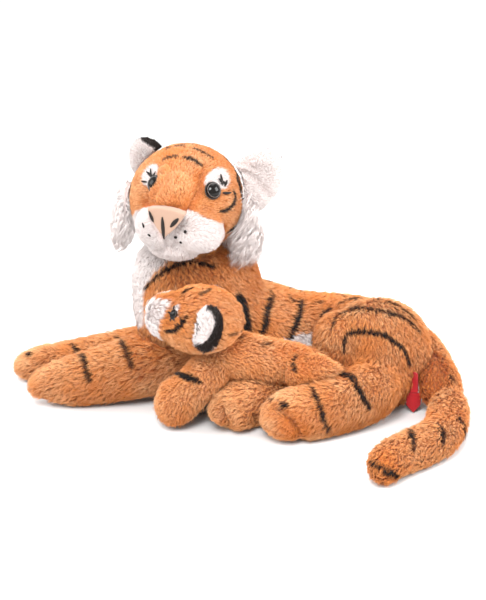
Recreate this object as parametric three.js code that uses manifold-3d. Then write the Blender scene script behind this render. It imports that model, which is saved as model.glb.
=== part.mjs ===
// A plush tiger lying on its belly with its cub resting against it.
// Millimetres, +Z up, the tiger's nose towards -X and its left side towards -Y.
// The origin is on the flat of the belly, on the surface that the toy lies on.
import * as THREE from "three";
import { mergeVertices } from "three/addons/utils/BufferGeometryUtils.js";
import Module from "manifold-3d";

const wasm = await Module();
wasm.setup();

// Gaps and cuts that every piece shares
const SEAM_GAP = 0.3; // between two pieces that are sewn or set together
const SWING_GAP = 0.6; // between a piece that swings and what it swings past
const REST_FLAT = 0.5; // how deep the fabric is pressed flat where the toy lies on it

// Trunk: long is nose to tail, wide is side to side, high is the girth's height
const TRUNK = { long: 196, wide: 94, high: 92 };
// Chest with the neck, an upright swelling form
const CHEST = { wide: 116, deep: 98, high: 164 };
// Head of the mother, in its own turned group
const SKULL = { wide: 102, high: 98 };
const MUZZLE_PAD = { wide: 46, deep: 38, high: 40 };
const CHIN = { wide: 50, deep: 30, high: 28 };
const BRIDGE = { wide: 48, deep: 58, high: 58 };
const NOSE = { wide: 33, deep: 9, high: 25 };
const EYE = { wide: 14, dome: 5, post: 4, postLong: 11, washer: 12, washerThick: 2 };
const EAR = { wide: 47, deep: 16, high: 70, rim: 6 };
const FAR_EAR = { wide: 40, deep: 15, high: 49, rim: 6 };
const RUFF = { wide: 20, deep: 34, high: 66 };
// Limbs of the mother: reach from the seam to the end, thick at the middle
const FORELEG = { reach: 136, thick: 44 };
const FAR_FORELEG = { reach: 157, thick: 39 };
const THIGH = { long: 102, wide: 62, high: 103 };
const HINDLEG = { reach: 100, thick: 50 };
const FAR_HINDLEG = { reach: 104, thick: 44 };
const TAIL = { long: 150, thick: 35 };
// Hang label
const RIBBON = { wide: 7, thick: 1.2, long: 20 };
const LABEL = { wide: 13, thick: 1.6, long: 19 };
// Cub
const CUB_TRUNK = { long: 104, thick: 42 };
const CUB_SKULL = { long: 76, wide: 58, high: 60 };
const CUB_MUZZLE = { long: 44, wide: 42, high: 42 };
const CUB_NOSE = { wide: 13, deep: 5, high: 9 };
const CUB_EYE = { wide: 8, dome: 3, post: 2.5, postLong: 6 };
const CUB_EAR = { wide: 30, deep: 10, high: 42, rim: 4 };
const CUB_FORELEG = { reach: 52, thick: 41 };
const CUB_HINDLEG = { reach: 50, thick: 30 };
const CUB_TAIL = { long: 38, thick: 11 };

// Centres of the two heads, worked out from what carries them
const CHEST_AT = new THREE.Vector3(TRUNK.long * -0.435, TRUNK.wide * -0.08, 0);
const HEAD_AT = new THREE.Vector3(
  CHEST_AT.x - CHEST.wide * 0.05,
  CHEST_AT.y - CHEST.deep * 0.18,
  CHEST.high * 1.18,
);
const HEAD_TURN_SHARE = -0.025; // of half a turn, towards the right foreleg
const HEAD_TILT_SHARE = 1 / 36; // of half a turn, the left ear lower
const NOSE_TURN_SHARE = -0.05; // of half a turn, because the nose is sewn on askew
const CUB_HEAD_AT = new THREE.Vector3(
  CHEST_AT.x + CHEST.wide * 0.057,
  CHEST_AT.y - CHEST.deep * 0.5 - CUB_SKULL.wide * 0.54,
  CHEST.high * 0.64,
);

// Paths of the stuffed forms. A row is a place on the form's middle line, as shares of the sizes
// that the form is called with, then its half width and half height there, as shares too.
const TRUNK_SHARES = [
  [-0.4, 0, 0.64, 0.42, 0.5],
  [-0.22, 0, 0.6, 0.5, 0.6],
  [0.03, 0, 0.515, 0.5, 0.527],
  [0.28, 0, 0.495, 0.49, 0.5],
  [0.47, -0.03, 0.47, 0.43, 0.45],
  [0.63, -0.06, 0.44, 0.3, 0.32],
];
const CHEST_SHARES = [
  [0.05, 0.04, 0.05, 0.3, 0.3],
  [0.08, 0.03, 0.3, 0.5, 0.47],
  [0.03, 0, 0.55, 0.53, 0.5],
  [-0.02, -0.04, 0.8, 0.47, 0.46],
  [-0.05, -0.12, 1, 0.3, 0.34],
];
const FORELEG_SHARES = [
  [0.3, 0.1, 1.1, 0.5, 0.5],
  [0, 0, 1.02, 0.62, 0.72],
  [-0.32, -0.14, 0.8, 0.54, 0.68],
  [-0.68, -0.22, 0.56, 0.48, 0.56],
  [-1, -0.24, 0.42, 0.4, 0.4],
];
const HINDLEG_SHARES = [
  [0.08, 0.5, 0.66, 0.5, 0.5],
  [-0.2, -0.02, 0.56, 0.54, 0.56],
  [-0.52, -0.46, 0.5, 0.5, 0.52],
  [-0.86, -0.72, 0.48, 0.48, 0.48],
  [-1.14, -0.72, 0.44, 0.4, 0.38],
];
const FAR_HINDLEG_SHARES = [
  [0.3, 0.2, 0.5, 0.36, 0.36],
  [0, 0, 0.46, 0.42, 0.42],
  [-0.4, -0.36, 0.48, 0.44, 0.44],
  [-0.76, -0.9, 0.54, 0.52, 0.54],
  [-1.04, -1.28, 0.48, 0.4, 0.42],
];
const TAIL_ROOT_SHARES = [
  [-0.22, 0.14, 1.5, 0.42, 0.42],
  [-0.05, 0.04, 1.25, 0.46, 0.46],
  [0.045, -0.22, 0.78, 0.5, 0.5],
  [0.09, -0.463, 0.52, 0.5, 0.5],
];
const TAIL_BEND_SHARES = [0.09, -0.463, 0.5];
const TAIL_END_SHARES = [
  [0.09, -0.34, 0.54, 0.48, 0.48],
  [0.06, -0.6, 0.5, 0.52, 0.51],
  [-0.02, -0.87, 0.49, 0.52, 0.5],
  [-0.2, -1.05, 0.49, 0.5, 0.49],
  [-0.33, -1.16, 0.47, 0.47, 0.47],
  [-0.4, -1.33, 0.45, 0.44, 0.44],
];
const CUB_TRUNK_SHARES = [
  [-0.62, -0.16, 1.9, 0.4, 0.42],
  [-0.4, -0.1, 1.62, 0.52, 0.54],
  [-0.08, 0, 1.38, 0.52, 0.52],
  [0.2, 0.06, 1.26, 0.48, 0.48],
  [0.42, 0.08, 1.2, 0.36, 0.38],
];
const CUB_FORELEG_SHARES = [
  [0.2, 0.1, 1.65, 0.44, 0.44],
  [-0.06, 0, 1.28, 0.46, 0.46],
  [-0.38, -0.02, 0.86, 0.48, 0.47],
  [-0.66, 0.02, 0.55, 0.56, 0.52],
  [-0.96, 0.06, 0.44, 0.5, 0.42],
];
const CUB_HINDLEG_SHARES = [
  [-0.3, 0, 1.85, 0.46, 0.46],
  [0.06, 0, 1.75, 0.5, 0.5],
  [0.5, 0.05, 1.66, 0.46, 0.46],
  [0.92, 0.1, 1.6, 0.4, 0.38],
];
const CUB_TAIL_SHARES = [
  [-0.3, 0, 0.6, 0.4, 0.4],
  [0.1, 0, 0.3, 0.5, 0.5],
  [0.6, 0.1, -0.2, 0.5, 0.5],
  [1, 0.2, -0.4, 0.4, 0.4],
];

// Finishes, with the colours of the photograph
const FINISH = {
  fur: { color: 0xd98a4e, roughness: 0.95 },
  white: { color: 0xf3eeea, roughness: 0.95 },
  nose: { color: 0xf0bd98, roughness: 0.9 },
  eye: { color: 0x120c0a, roughness: 0.08 },
  washer: { color: 0xe6e4de, roughness: 0.5 },
  red: { color: 0xc41a2c, roughness: 0.8 },
};

// A closed geometry as a solid, turned outwards if its faces point in.
function solidOf(geometry) {
  const bare = geometry.clone();
  bare.deleteAttribute("normal");
  bare.deleteAttribute("uv");
  const merged = mergeVertices(bare, SEAM_GAP / 1000);
  const vertProperties = Float32Array.from(merged.attributes.position.array);
  const triVerts = Uint32Array.from(merged.index.array);
  const made = new wasm.Manifold(new wasm.Mesh({ numProp: 3, vertProperties, triVerts }));
  if (made.volume() > 0) return made;
  for (let i = 0; i < triVerts.length; i += 3) triVerts.subarray(i, i + 3).reverse();
  return new wasm.Manifold(new wasm.Mesh({ numProp: 3, vertProperties, triVerts }));
}

function geometryOf(solid) {
  const mesh = solid.getMesh();
  const position = new Float32Array(mesh.numVert * 3);
  for (let i = 0; i < mesh.numVert; i++) {
    position.set(mesh.vertProperties.subarray(i * mesh.numProp, i * mesh.numProp + 3), i * 3);
  }
  const geometry = new THREE.BufferGeometry();
  geometry.setAttribute("position", new THREE.BufferAttribute(position, 3));
  geometry.setIndex(new THREE.BufferAttribute(Uint32Array.from(mesh.triVerts), 1));
  return geometry;
}

// A value that runs smoothly through the numbers in list as t goes from 0 to 1.
function smooth(list, t) {
  const curve = new THREE.CatmullRomCurve3(list.map((v, i) => new THREE.Vector3(i, v, 0)));
  return curve.getPoint(t).y;
}

// A closed stuffed form along the rows, rounded at both ends. Its size holds the lengths that the
// shares of a row follow: x, y and z for the place, side and over for the half width and height.
// grow makes it that much larger all round, for cutting a neighbour clear of it.
function stuffed(at, size, rows, options = {}) {
  const { sides = 12, rings = 8, caps = 3, over = [0, 0, 1], grow = 0 } = options;
  const line = new THREE.CatmullRomCurve3(
    rows.map(([x, y, z]) => new THREE.Vector3(x * size.x, y * size.y, z * size.z).add(at)),
  );
  const span = rows.length - 1;
  const halves = (t) => [
    smooth(rows.map((row) => row[3]), t) * size.side,
    smooth(rows.map((row) => row[4]), t) * size.over,
  ];
  // At each end, most of the way between the last two rows is drawn in to a round pole.
  const capShare = 0.8 / span;
  const stations = [];
  for (let i = 0; i < caps; i++) {
    const angle = (Math.PI / 2) * (i / caps);
    stations.push([capShare * (1 - Math.cos(angle)), Math.sin(angle), Math.cos(angle)]);
  }
  for (let i = 0; i <= rings; i++) stations.push([capShare + (1 - 2 * capShare) * (i / rings), 1, 0]);
  for (let i = caps - 1; i >= 0; i--) {
    const angle = (Math.PI / 2) * (i / caps);
    stations.push([1 - capShare * (1 - Math.cos(angle)), Math.sin(angle), -Math.cos(angle)]);
  }
  const position = [];
  for (const [t, full, end] of stations) {
    const tangent = line.getTangent(t);
    const side = new THREE.Vector3(...over).cross(tangent).normalize();
    const up = tangent.clone().cross(side);
    const middle = line.getPoint(t).addScaledVector(tangent, -end * grow);
    const [halfSide, halfUp] = halves(t);
    for (let i = 0; i < sides; i++) {
      const angle = (2 * Math.PI * (i + 0.5)) / sides;
      const point = middle.clone();
      point.addScaledVector(side, (halfSide + grow) * full * Math.cos(angle));
      point.addScaledVector(up, (halfUp + grow) * full * Math.sin(angle));
      position.push(...point);
    }
  }
  const index = [];
  for (let ring = 0; ring + 1 < stations.length; ring++) {
    for (let i = 0; i < sides; i++) {
      const a = ring * sides + i;
      const b = ring * sides + ((i + 1) % sides);
      if (ring > 0) index.push(a, b, a + sides);
      if (ring + 2 < stations.length) index.push(b, b + sides, a + sides);
    }
  }
  const geometry = new THREE.BufferGeometry();
  geometry.setAttribute("position", new THREE.Float32BufferAttribute(position, 3));
  geometry.setIndex(index);
  return solidOf(geometry);
}

// A rounded pad of full sizes x, y and z, at a place, moved and turned by a matrix.
function pad(frame, at, size, { turn = [0, 0, 0], around = 14, down = 8, grow = 0 } = {}) {
  const geometry = new THREE.SphereGeometry(0.5, around, down);
  geometry.rotateX(Math.PI / 2);
  geometry.scale(size.x + 2 * grow, size.y + 2 * grow, size.z + 2 * grow);
  geometry.applyMatrix4(new THREE.Matrix4().makeRotationFromEuler(new THREE.Euler(...turn)));
  geometry.translate(...at);
  return solidOf(geometry.applyMatrix4(frame));
}

// A block of full sizes x, y and z, in the same way.
function block(frame, at, size, turn = [0, 0, 0]) {
  const geometry = new THREE.BoxGeometry(size.x, size.y, size.z);
  geometry.applyMatrix4(new THREE.Matrix4().makeRotationFromEuler(new THREE.Euler(...turn)));
  geometry.translate(...at);
  return solidOf(geometry.applyMatrix4(frame));
}

// A disc or post along the frame's Y axis.
function disc(frame, at, diameter, long, sides = 14) {
  const geometry = new THREE.CylinderGeometry(diameter / 2, diameter / 2, long, sides);
  geometry.translate(...at);
  return solidOf(geometry.applyMatrix4(frame));
}

// A frame moved to a place in another frame and turned there.
function turnedFrame(frame, at, turn) {
  const moved = new THREE.Matrix4().makeTranslation(...at);
  moved.multiply(new THREE.Matrix4().makeRotationFromEuler(new THREE.Euler(...turn)));
  return frame.clone().multiply(moved);
}

// A frame at a place on a rounded form, with its -Y axis pointing straight out of the form.
function facingFrame(frame, at) {
  const out = new THREE.Vector3(...at).normalize();
  const turn = new THREE.Quaternion().setFromUnitVectors(new THREE.Vector3(0, -1, 0), out);
  const moved = new THREE.Matrix4().makeTranslation(...at);
  moved.multiply(new THREE.Matrix4().makeRotationFromQuaternion(turn));
  return frame.clone().multiply(moved);
}

// The union of copies of a solid turned about an axis through a place, from one angle to another.
function swept(solid, at, axis, from, to, steps) {
  let sum = null;
  for (let i = 0; i <= steps; i++) {
    const angle = THREE.MathUtils.degToRad(from + ((to - from) * i) / steps);
    const turn = new THREE.Matrix4().makeTranslation(...at);
    turn.multiply(new THREE.Matrix4().makeRotationAxis(axis, angle));
    turn.multiply(new THREE.Matrix4().makeTranslation(-at.x, -at.y, -at.z));
    const copy = solid.transform(turn.toArray());
    sum = sum ? sum.add(copy) : copy;
  }
  return sum;
}

// A solid and copies of it moved along a direction, as one.
function slid(solid, along, far, steps) {
  let sum = solid;
  for (let i = 1; i <= steps; i++) {
    const move = along.clone().multiplyScalar((far * i) / steps);
    sum = sum.add(solid.transform(new THREE.Matrix4().makeTranslation(move).toArray()));
  }
  return sum;
}

const cut = (solid, ...others) => others.reduce((left, other) => left.subtract(other), solid);
const UP = new THREE.Vector3(0, 0, 1);
const ALONG = new THREE.Vector3(1, 0, 0);
const sideName = (side) => (side < 0 ? "left" : "right");

// What lies under the surface that the toy rests on.
const UNDER = block(
  new THREE.Matrix4(),
  [0, 0, -CHEST.high / 2],
  { x: TRUNK.long * 4, y: TRUNK.long * 4, z: CHEST.high },
);
const onRest = (solid) => solid.subtract(UNDER);

// A group at the place that its pieces turn about, which keeps the axis and the limits in degrees.
function jointGroup(parent, name, at, axis, swing) {
  const group = new THREE.Group();
  group.name = name;
  group.userData = { axis: axis.toArray(), swing };
  parent.add(group);
  parent.updateMatrixWorld(true);
  group.position.copy(parent.worldToLocal(at.clone()));
  group.updateMatrixWorld(true);
  return group;
}

const toy = new THREE.Group();
toy.name = "plush_tiger_with_cub";
const mother = new THREE.Group();
const motherHead = new THREE.Group();
const cub = new THREE.Group();
const cubHead = new THREE.Group();
mother.name = "mother";
motherHead.name = "mother_head_turn";
cub.name = "cub";
cubHead.name = "cub_head_turn";
motherHead.position.copy(HEAD_AT);
motherHead.rotation.set(0, Math.PI * HEAD_TILT_SHARE, Math.PI * HEAD_TURN_SHARE);
cubHead.position.copy(CUB_HEAD_AT);
toy.add(mother, cub);
mother.add(motherHead);
cub.add(cubHead);
toy.updateMatrixWorld(true);
const headAxis = new THREE.Vector3(0, 0, 1).transformDirection(motherHead.matrixWorld);

// Hangs a solid made in the toy's frame in its group, as a named mesh.
function addPiece(group, name, solid, finish) {
  const geometry = geometryOf(solid).applyMatrix4(group.matrixWorld.clone().invert());
  const shown = geometry.toNonIndexed();
  shown.computeVertexNormals();
  const mesh = new THREE.Mesh(shown, new THREE.MeshStandardMaterial({ ...finish, metalness: 0 }));
  mesh.name = name;
  group.add(mesh);
}

// Mother: trunk and chest
const IN_PLACE = new THREE.Matrix4();
const evenSize = (reach, thick) => ({ x: reach, y: thick, z: thick, side: thick, over: thick });
const trunkSize =
  { x: TRUNK.long, y: TRUNK.wide, z: TRUNK.high, side: TRUNK.wide, over: TRUNK.high };
const trunkAt = new THREE.Vector3(0, 0, -REST_FLAT);
const makeTrunk = (grow) =>
  stuffed(trunkAt, trunkSize, TRUNK_SHARES, { sides: 16, rings: 9, grow });
const chestSize =
  { x: CHEST.wide, y: CHEST.deep, z: CHEST.high, side: CHEST.wide, over: CHEST.deep };
const makeChest = (grow) =>
  stuffed(CHEST_AT, chestSize, CHEST_SHARES, { sides: 18, rings: 9, over: [0, -1, 0], grow });

// The full sizes of a pad, and of the hollow inside its rim
const padSize = ({ wide, deep, high }) => ({ x: wide, y: deep, z: high });
const cupSize = ({ wide, deep, high, rim }) => ({ x: wide - 2 * rim, y: deep, z: high - 2 * rim });

// Mother: head, with everything on it in the head's own frame
const headFrame = motherHead.matrixWorld;
const skullSize = { x: SKULL.wide, y: SKULL.wide, z: SKULL.high };
const bridgeAt = [SKULL.wide * -0.04, SKULL.wide * -0.32, SKULL.high * 0.06];
const makeCranium = (grow) => pad(headFrame, [0, 0, 0], skullSize, { around: 20, down: 14, grow });
const makeSkull = (grow) =>
  makeCranium(grow).add(pad(headFrame, bridgeAt, padSize(BRIDGE), { grow }));
const muzzleAt = (side) => [MUZZLE_PAD.wide * 0.36 * side, SKULL.wide * -0.46, SKULL.high * -0.12];
const makeMuzzlePad = (side, grow) => pad(headFrame, muzzleAt(side), padSize(MUZZLE_PAD), { grow });
const chinAt = [SKULL.wide * -0.04, SKULL.wide * -0.4, SKULL.high * -0.3];
const makeChin = (grow) => pad(headFrame, chinAt, padSize(CHIN), { grow });
const noseFrame = turnedFrame(headFrame, [0, 0, 0], [0, 0, Math.PI * NOSE_TURN_SHARE]);
const noseAt = [0, SKULL.wide * -0.5 - MUZZLE_PAD.deep * 0.25, SKULL.high * -0.01];
const eyeFrame = (side) =>
  facingFrame(headFrame, [SKULL.wide * 0.243 * side, SKULL.wide * -0.373, SKULL.high * 0.23]);
const earOf = (side) => (side < 0 ? FAR_EAR : EAR);
const earAt = (side) =>
  side < 0
    ? [SKULL.wide * -0.36, SKULL.wide * 0.16, SKULL.high * 0.25]
    : [SKULL.wide * 0.5, SKULL.wide * 0.12, SKULL.high * 0.14];
const earFrame = (side) =>
  turnedFrame(headFrame, earAt(side), [0, Math.PI * 0.14 * side, Math.PI * 0.06 * side]);
const makeEar = (side, grow) => pad(earFrame(side), [0, 0, 0], padSize(earOf(side)), { grow });
const makeEarCup = (side) =>
  pad(earFrame(side), [0, earOf(side).deep * -0.62, 0], cupSize(earOf(side)));
const ruffFrame = (side) =>
  turnedFrame(
    headFrame,
    [SKULL.wide * 0.52 * side, SKULL.wide * 0.02, SKULL.high * -0.2],
    [0, Math.PI * -0.03 * side, 0],
  );
const makeRuff = (side, grow) =>
  pad(ruffFrame(side), [0, 0, 0], padSize(RUFF), { around: 12, down: 10, grow });

// Mother: limbs and tail
const forelegOf = (side) => (side < 0 ? FORELEG : FAR_FORELEG);
const forelegAt = (side) =>
  new THREE.Vector3(TRUNK.long * -0.5, side < 0 ? TRUNK.wide * -0.3 : TRUNK.wide * 0.2, 0);
const forelegSize = (side) => {
  const { reach, thick } = forelegOf(side);
  if (side < 0) return evenSize(reach, thick);
  return { ...evenSize(reach, thick), y: thick * 0.3, z: thick * 0.88, over: thick * 0.9 };
};
const makeForeleg = (side, grow) =>
  stuffed(forelegAt(side), forelegSize(side), FORELEG_SHARES, { grow });
const thighAt = [TRUNK.long * 0.4, TRUNK.wide * -0.36, THIGH.high * 0.5];
const thighSize = { x: THIGH.long, y: THIGH.wide, z: THIGH.high };
const hindlegAt = new THREE.Vector3(TRUNK.long * 0.44, TRUNK.wide * -0.78, 0);
const makeHindleg = (grow) =>
  pad(IN_PLACE, thighAt, thighSize, { around: 18, down: 12, grow })
    .add(stuffed(hindlegAt, evenSize(HINDLEG.reach, HINDLEG.thick), HINDLEG_SHARES, { grow }));
const farHindlegAt = new THREE.Vector3(TRUNK.long * 0.19, TRUNK.wide * -0.5, 0);
const makeFarHindleg = (grow) =>
  stuffed(farHindlegAt, evenSize(FAR_HINDLEG.reach, FAR_HINDLEG.thick), FAR_HINDLEG_SHARES, { grow });
const tailAt = new THREE.Vector3(TRUNK.long * 0.66, TRUNK.wide * -0.06, 0);
const tailSize = { x: TAIL.long, y: TAIL.long, z: TAIL.thick, side: TAIL.thick, over: TAIL.thick };
const makeTailRoot = (grow) => stuffed(tailAt, tailSize, TAIL_ROOT_SHARES, { rings: 5, grow });
const makeTailEnd = (grow) => stuffed(tailAt, tailSize, TAIL_END_SHARES, { grow });

// Cub
const cubTrunkAt = new THREE.Vector3(TRUNK.long * -0.09, TRUNK.wide * -0.74, 0);
const makeCubTrunk = (grow) =>
  stuffed(cubTrunkAt, evenSize(CUB_TRUNK.long, CUB_TRUNK.thick), CUB_TRUNK_SHARES, { grow });
const cubHeadFrame = cubHead.matrixWorld;
const cubSkullSize = { x: CUB_SKULL.long, y: CUB_SKULL.wide, z: CUB_SKULL.high };
const makeCubSkull = (grow) => pad(cubHeadFrame, [0, 0, 0], cubSkullSize, { grow });
const cubMuzzleAt = [CUB_SKULL.long * -0.34, 0, CUB_SKULL.high * 0.05];
const cubMuzzleSize = { x: CUB_MUZZLE.long, y: CUB_MUZZLE.wide, z: CUB_MUZZLE.high };
const makeCubMuzzle = (grow) =>
  pad(cubHeadFrame, cubMuzzleAt, cubMuzzleSize, { around: 14, down: 10, grow });
const cubNoseAt = [
  CUB_SKULL.long * -0.34 - CUB_MUZZLE.long * 0.42,
  CUB_MUZZLE.wide * 0.17,
  CUB_SKULL.high * 0.17,
];
const cubEyeFrame = (side) =>
  facingFrame(
    cubHeadFrame,
    [CUB_SKULL.long * -0.27, CUB_SKULL.wide * 0.36 * side, CUB_SKULL.high * 0.22],
  );
const cubEarAt = (side) => [
  CUB_SKULL.long * 0.09,
  CUB_SKULL.wide * 0.54 * side,
  CUB_SKULL.high * (side < 0 ? 0.07 : -0.04),
];
const cubEarFrame = (side) =>
  turnedFrame(
    cubHeadFrame,
    cubEarAt(side),
    [0, Math.PI * 0.1, side < 0 ? Math.PI * -0.2 : Math.PI * -0.02],
  );
const makeCubEar = (side, grow) => pad(cubEarFrame(side), [0, 0, 0], padSize(CUB_EAR), { grow });
const makeCubEarCup = (side) =>
  pad(cubEarFrame(side), [0, CUB_EAR.deep * 0.62 * side, 0], cupSize(CUB_EAR));
const cubForelegAt = (side) =>
  new THREE.Vector3(
    cubTrunkAt.x - CUB_TRUNK.long * 0.5,
    cubTrunkAt.y + CUB_TRUNK.thick * 0.34 * side,
    0,
  );
const cubForelegSize = (side) =>
  evenSize(CUB_FORELEG.reach, CUB_FORELEG.thick * (side < 0 ? 1 : 0.8));
const makeCubForeleg = (side, grow) =>
  stuffed(cubForelegAt(side), cubForelegSize(side), CUB_FORELEG_SHARES, { grow });
const cubHindlegAt = (side) =>
  new THREE.Vector3(
    cubTrunkAt.x + CUB_TRUNK.long * 0.2,
    cubTrunkAt.y + CUB_TRUNK.thick * 0.3 * side,
    0,
  );
const makeCubHindleg = (side, grow) =>
  stuffed(
    cubHindlegAt(side),
    evenSize(CUB_HINDLEG.reach, CUB_HINDLEG.thick),
    CUB_HINDLEG_SHARES,
    { rings: 5, grow },
  );
const cubTailAt = new THREE.Vector3(
  cubTrunkAt.x + CUB_TRUNK.long * 0.3,
  cubTrunkAt.y + CUB_TRUNK.thick * 0.12,
  CUB_TRUNK.thick * 0.9,
);
const makeCubTail = (grow) =>
  stuffed(
    cubTailAt,
    evenSize(CUB_TAIL.long, CUB_TAIL.thick),
    CUB_TAIL_SHARES,
    { sides: 8, rings: 5, grow },
  );

// How far each sewn piece gives, in degrees from where it lies, and where it turns
const HEAD_SWING = [-20, 20];
const EAR_SWING = [-15, 15];
const FORELEG_SWING = [0, 25];
const HINDLEG_SWING = [0, 10];
const TAIL_SWING = [0, 15];
const TAIL_END_SWING = [-10, 15];
const CUB_HEAD_SWING = [-8, 8];
const CUB_EAR_SWING = [-12, 12];
const CUB_FORELEG_SWING = [0, 12];
const LABEL_SWING = [-30, 30];
motherHead.userData = { axis: headAxis.toArray(), swing: HEAD_SWING };
cubHead.userData = { axis: [0, 0, 1], swing: CUB_HEAD_SWING };
const STEPS = 2; // turned copies that stand for a swing, besides the first
const FINE_STEPS = 4; // the same, where a round end swings past
const FINEST_STEPS = 8; // the same, where a thin edge swings through its seat
// The way the cub is lifted off, and how far along it the mother's curves are kept clear
const LIFT = new THREE.Vector3(0.45, -0.45, 0.77).normalize();
const LIFT_FAR = CUB_TRUNK.long * 0.87;
const LIFT_CLEAR_SHARE = 0.3;

const pointIn = (frame, at) => new THREE.Vector3(...at).applyMatrix4(frame);
// The seam of an ear runs where its plane leaves the head, square to the line from the head's middle.
function earSeam(frame, headAt, drop) {
  const out = new THREE.Vector3().setFromMatrixPosition(frame).sub(headAt);
  const face = new THREE.Vector3(0, -1, 0).transformDirection(frame);
  out.addScaledVector(face, -out.dot(face)).normalize();
  const at = new THREE.Vector3().setFromMatrixPosition(frame).addScaledVector(out, -drop);
  return { at, axis: out.cross(face).normalize() };
}
const motherEarSeam = (side) => earSeam(earFrame(side), HEAD_AT, earOf(side).wide * 0.3);
const forelegSeamAt = (side) => {
  const at = forelegAt(side);
  const { reach, thick } = forelegOf(side);
  return new THREE.Vector3(at.x - reach * 0.08, at.y + thick * 0.62 * side, thick);
};
const hindlegSeamAt = new THREE.Vector3(
  TRUNK.long * 0.4 + THIGH.long * 0.42,
  TRUNK.wide * -0.36,
  THIGH.high / 2,
);
const tailSeamAt = new THREE.Vector3(TRUNK.long * 0.58, TRUNK.wide * -0.03, TAIL.thick * 1.2);
const tailBendAt = new THREE.Vector3(
  TAIL_BEND_SHARES[0] * TAIL.long,
  TAIL_BEND_SHARES[1] * TAIL.long,
  TAIL_BEND_SHARES[2] * TAIL.thick,
).add(tailAt);
const cubEarSeamAt = pointIn(cubEarFrame(-1), [0, CUB_EAR.deep * 0.5, 0]);
const cubForelegSeamAt = cubForelegAt(-1).add(
  new THREE.Vector3(CUB_FORELEG.reach * 0.1, CUB_FORELEG.thick * -0.4, CUB_FORELEG.thick),
);

// A smaller moving piece, cleared of a larger one at rest and through its swing.
const clearOf = (piece, fixed, at, axis, [from, to], steps = STEPS) =>
  piece.subtract(swept(fixed, at, axis, -to, -from, steps));

// A safety eye: a dome on a post, in a frame that faces straight out of the head. Its washer grips
// the post behind the fabric, inside the stuffing.
const eyeBall = (frame, eye) =>
  pad(frame, [0, 0, 0], { x: eye.wide, y: eye.dome * 2, z: eye.wide }, { around: 16, down: 10 });
const eyePost = (frame, eye, grow) =>
  disc(frame, [0, eye.postLong / 2, 0], eye.post + 2 * grow, eye.postLong + 2 * grow, 10);
const washerAt = (eye) => eye.postLong * 0.72;
const eyeWasher = (frame, eye, grow) =>
  disc(frame, [0, washerAt(eye), 0], eye.washer + 2 * grow, eye.washerThick + 2 * grow);
const makeEye = (frame, eye, skull) => cut(eyeBall(frame, eye), skull).add(eyePost(frame, eye, 0));
const makeWasher = (frame, eye) => cut(eyeWasher(frame, eye, 0), eyePost(frame, eye, SEAM_GAP));
const eyeSocket = (frame, eye) => eyePost(frame, eye, SEAM_GAP).add(eyeWasher(frame, eye, SEAM_GAP));

// The nose: a padded triangle of flat fabric, its point down.
function makeNose(frame, at, { wide, deep, high }) {
  const outline = new THREE.Shape();
  outline.moveTo(-wide * 0.5, high * 0.42);
  outline.quadraticCurveTo(0, high * 0.62, wide * 0.5, high * 0.42);
  outline.quadraticCurveTo(wide * 0.34, high * -0.1, 0, high * -0.5);
  outline.quadraticCurveTo(-wide * 0.34, high * -0.1, -wide * 0.5, high * 0.42);
  const sewn = { depth: deep, bevelEnabled: false, curveSegments: 5 };
  const geometry = new THREE.ExtrudeGeometry(outline, sewn);
  geometry.rotateX(Math.PI / 2);
  geometry.translate(...at);
  return solidOf(geometry.applyMatrix4(frame));
}

function addTrunkAndChest() {
  const chin = swept(makeChin(SWING_GAP), HEAD_AT, headAxis, ...HEAD_SWING, STEPS);
  const seat = makeCranium(SWING_GAP + SEAM_GAP);
  const chest = cut(onRest(makeChest(0)), makeTrunk(SEAM_GAP), seat, chin);
  addPiece(mother, "mother_trunk", onRest(makeTrunk(0)), FINISH.fur);
  addPiece(mother, "mother_chest", chest, FINISH.fur);
}

function addHead() {
  const clearEars = (skull, side) => {
    const { at, axis } = motherEarSeam(side);
    const root = cut(makeEar(side, SWING_GAP), makeSkull(0));
    return cut(skull, swept(root, at, axis, ...EAR_SWING, FINE_STEPS));
  };
  let skull = cut(makeSkull(0), eyeSocket(eyeFrame(-1), EYE), eyeSocket(eyeFrame(1), EYE));
  for (const side of [-1, 1]) skull = clearEars(skull, side);
  addPiece(motherHead, "mother_head", skull, FINISH.fur);
}

function addFace() {
  const skull = makeSkull(SEAM_GAP);
  const rightPad = cut(makeMuzzlePad(-1, 0), skull);
  const leftPad = cut(makeMuzzlePad(1, 0), skull, makeMuzzlePad(-1, SEAM_GAP));
  const pads = makeMuzzlePad(-1, SEAM_GAP).add(makeMuzzlePad(1, SEAM_GAP));
  addPiece(motherHead, "mother_muzzle_right", rightPad, FINISH.white);
  addPiece(motherHead, "mother_muzzle_left", leftPad, FINISH.white);
  addPiece(motherHead, "mother_chin", cut(makeChin(0), skull, pads), FINISH.white);
  const nose = cut(makeNose(noseFrame, noseAt, NOSE), skull, pads);
  addPiece(motherHead, "mother_nose", nose, FINISH.nose);
  for (const side of [-1, 1]) {
    const name = sideName(-side);
    addPiece(motherHead, "mother_eye_" + name, makeEye(eyeFrame(side), EYE, skull), FINISH.eye);
    addPiece(motherHead, "mother_eye_washer_" + name, makeWasher(eyeFrame(side), EYE), FINISH.washer);
  }
}

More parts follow.
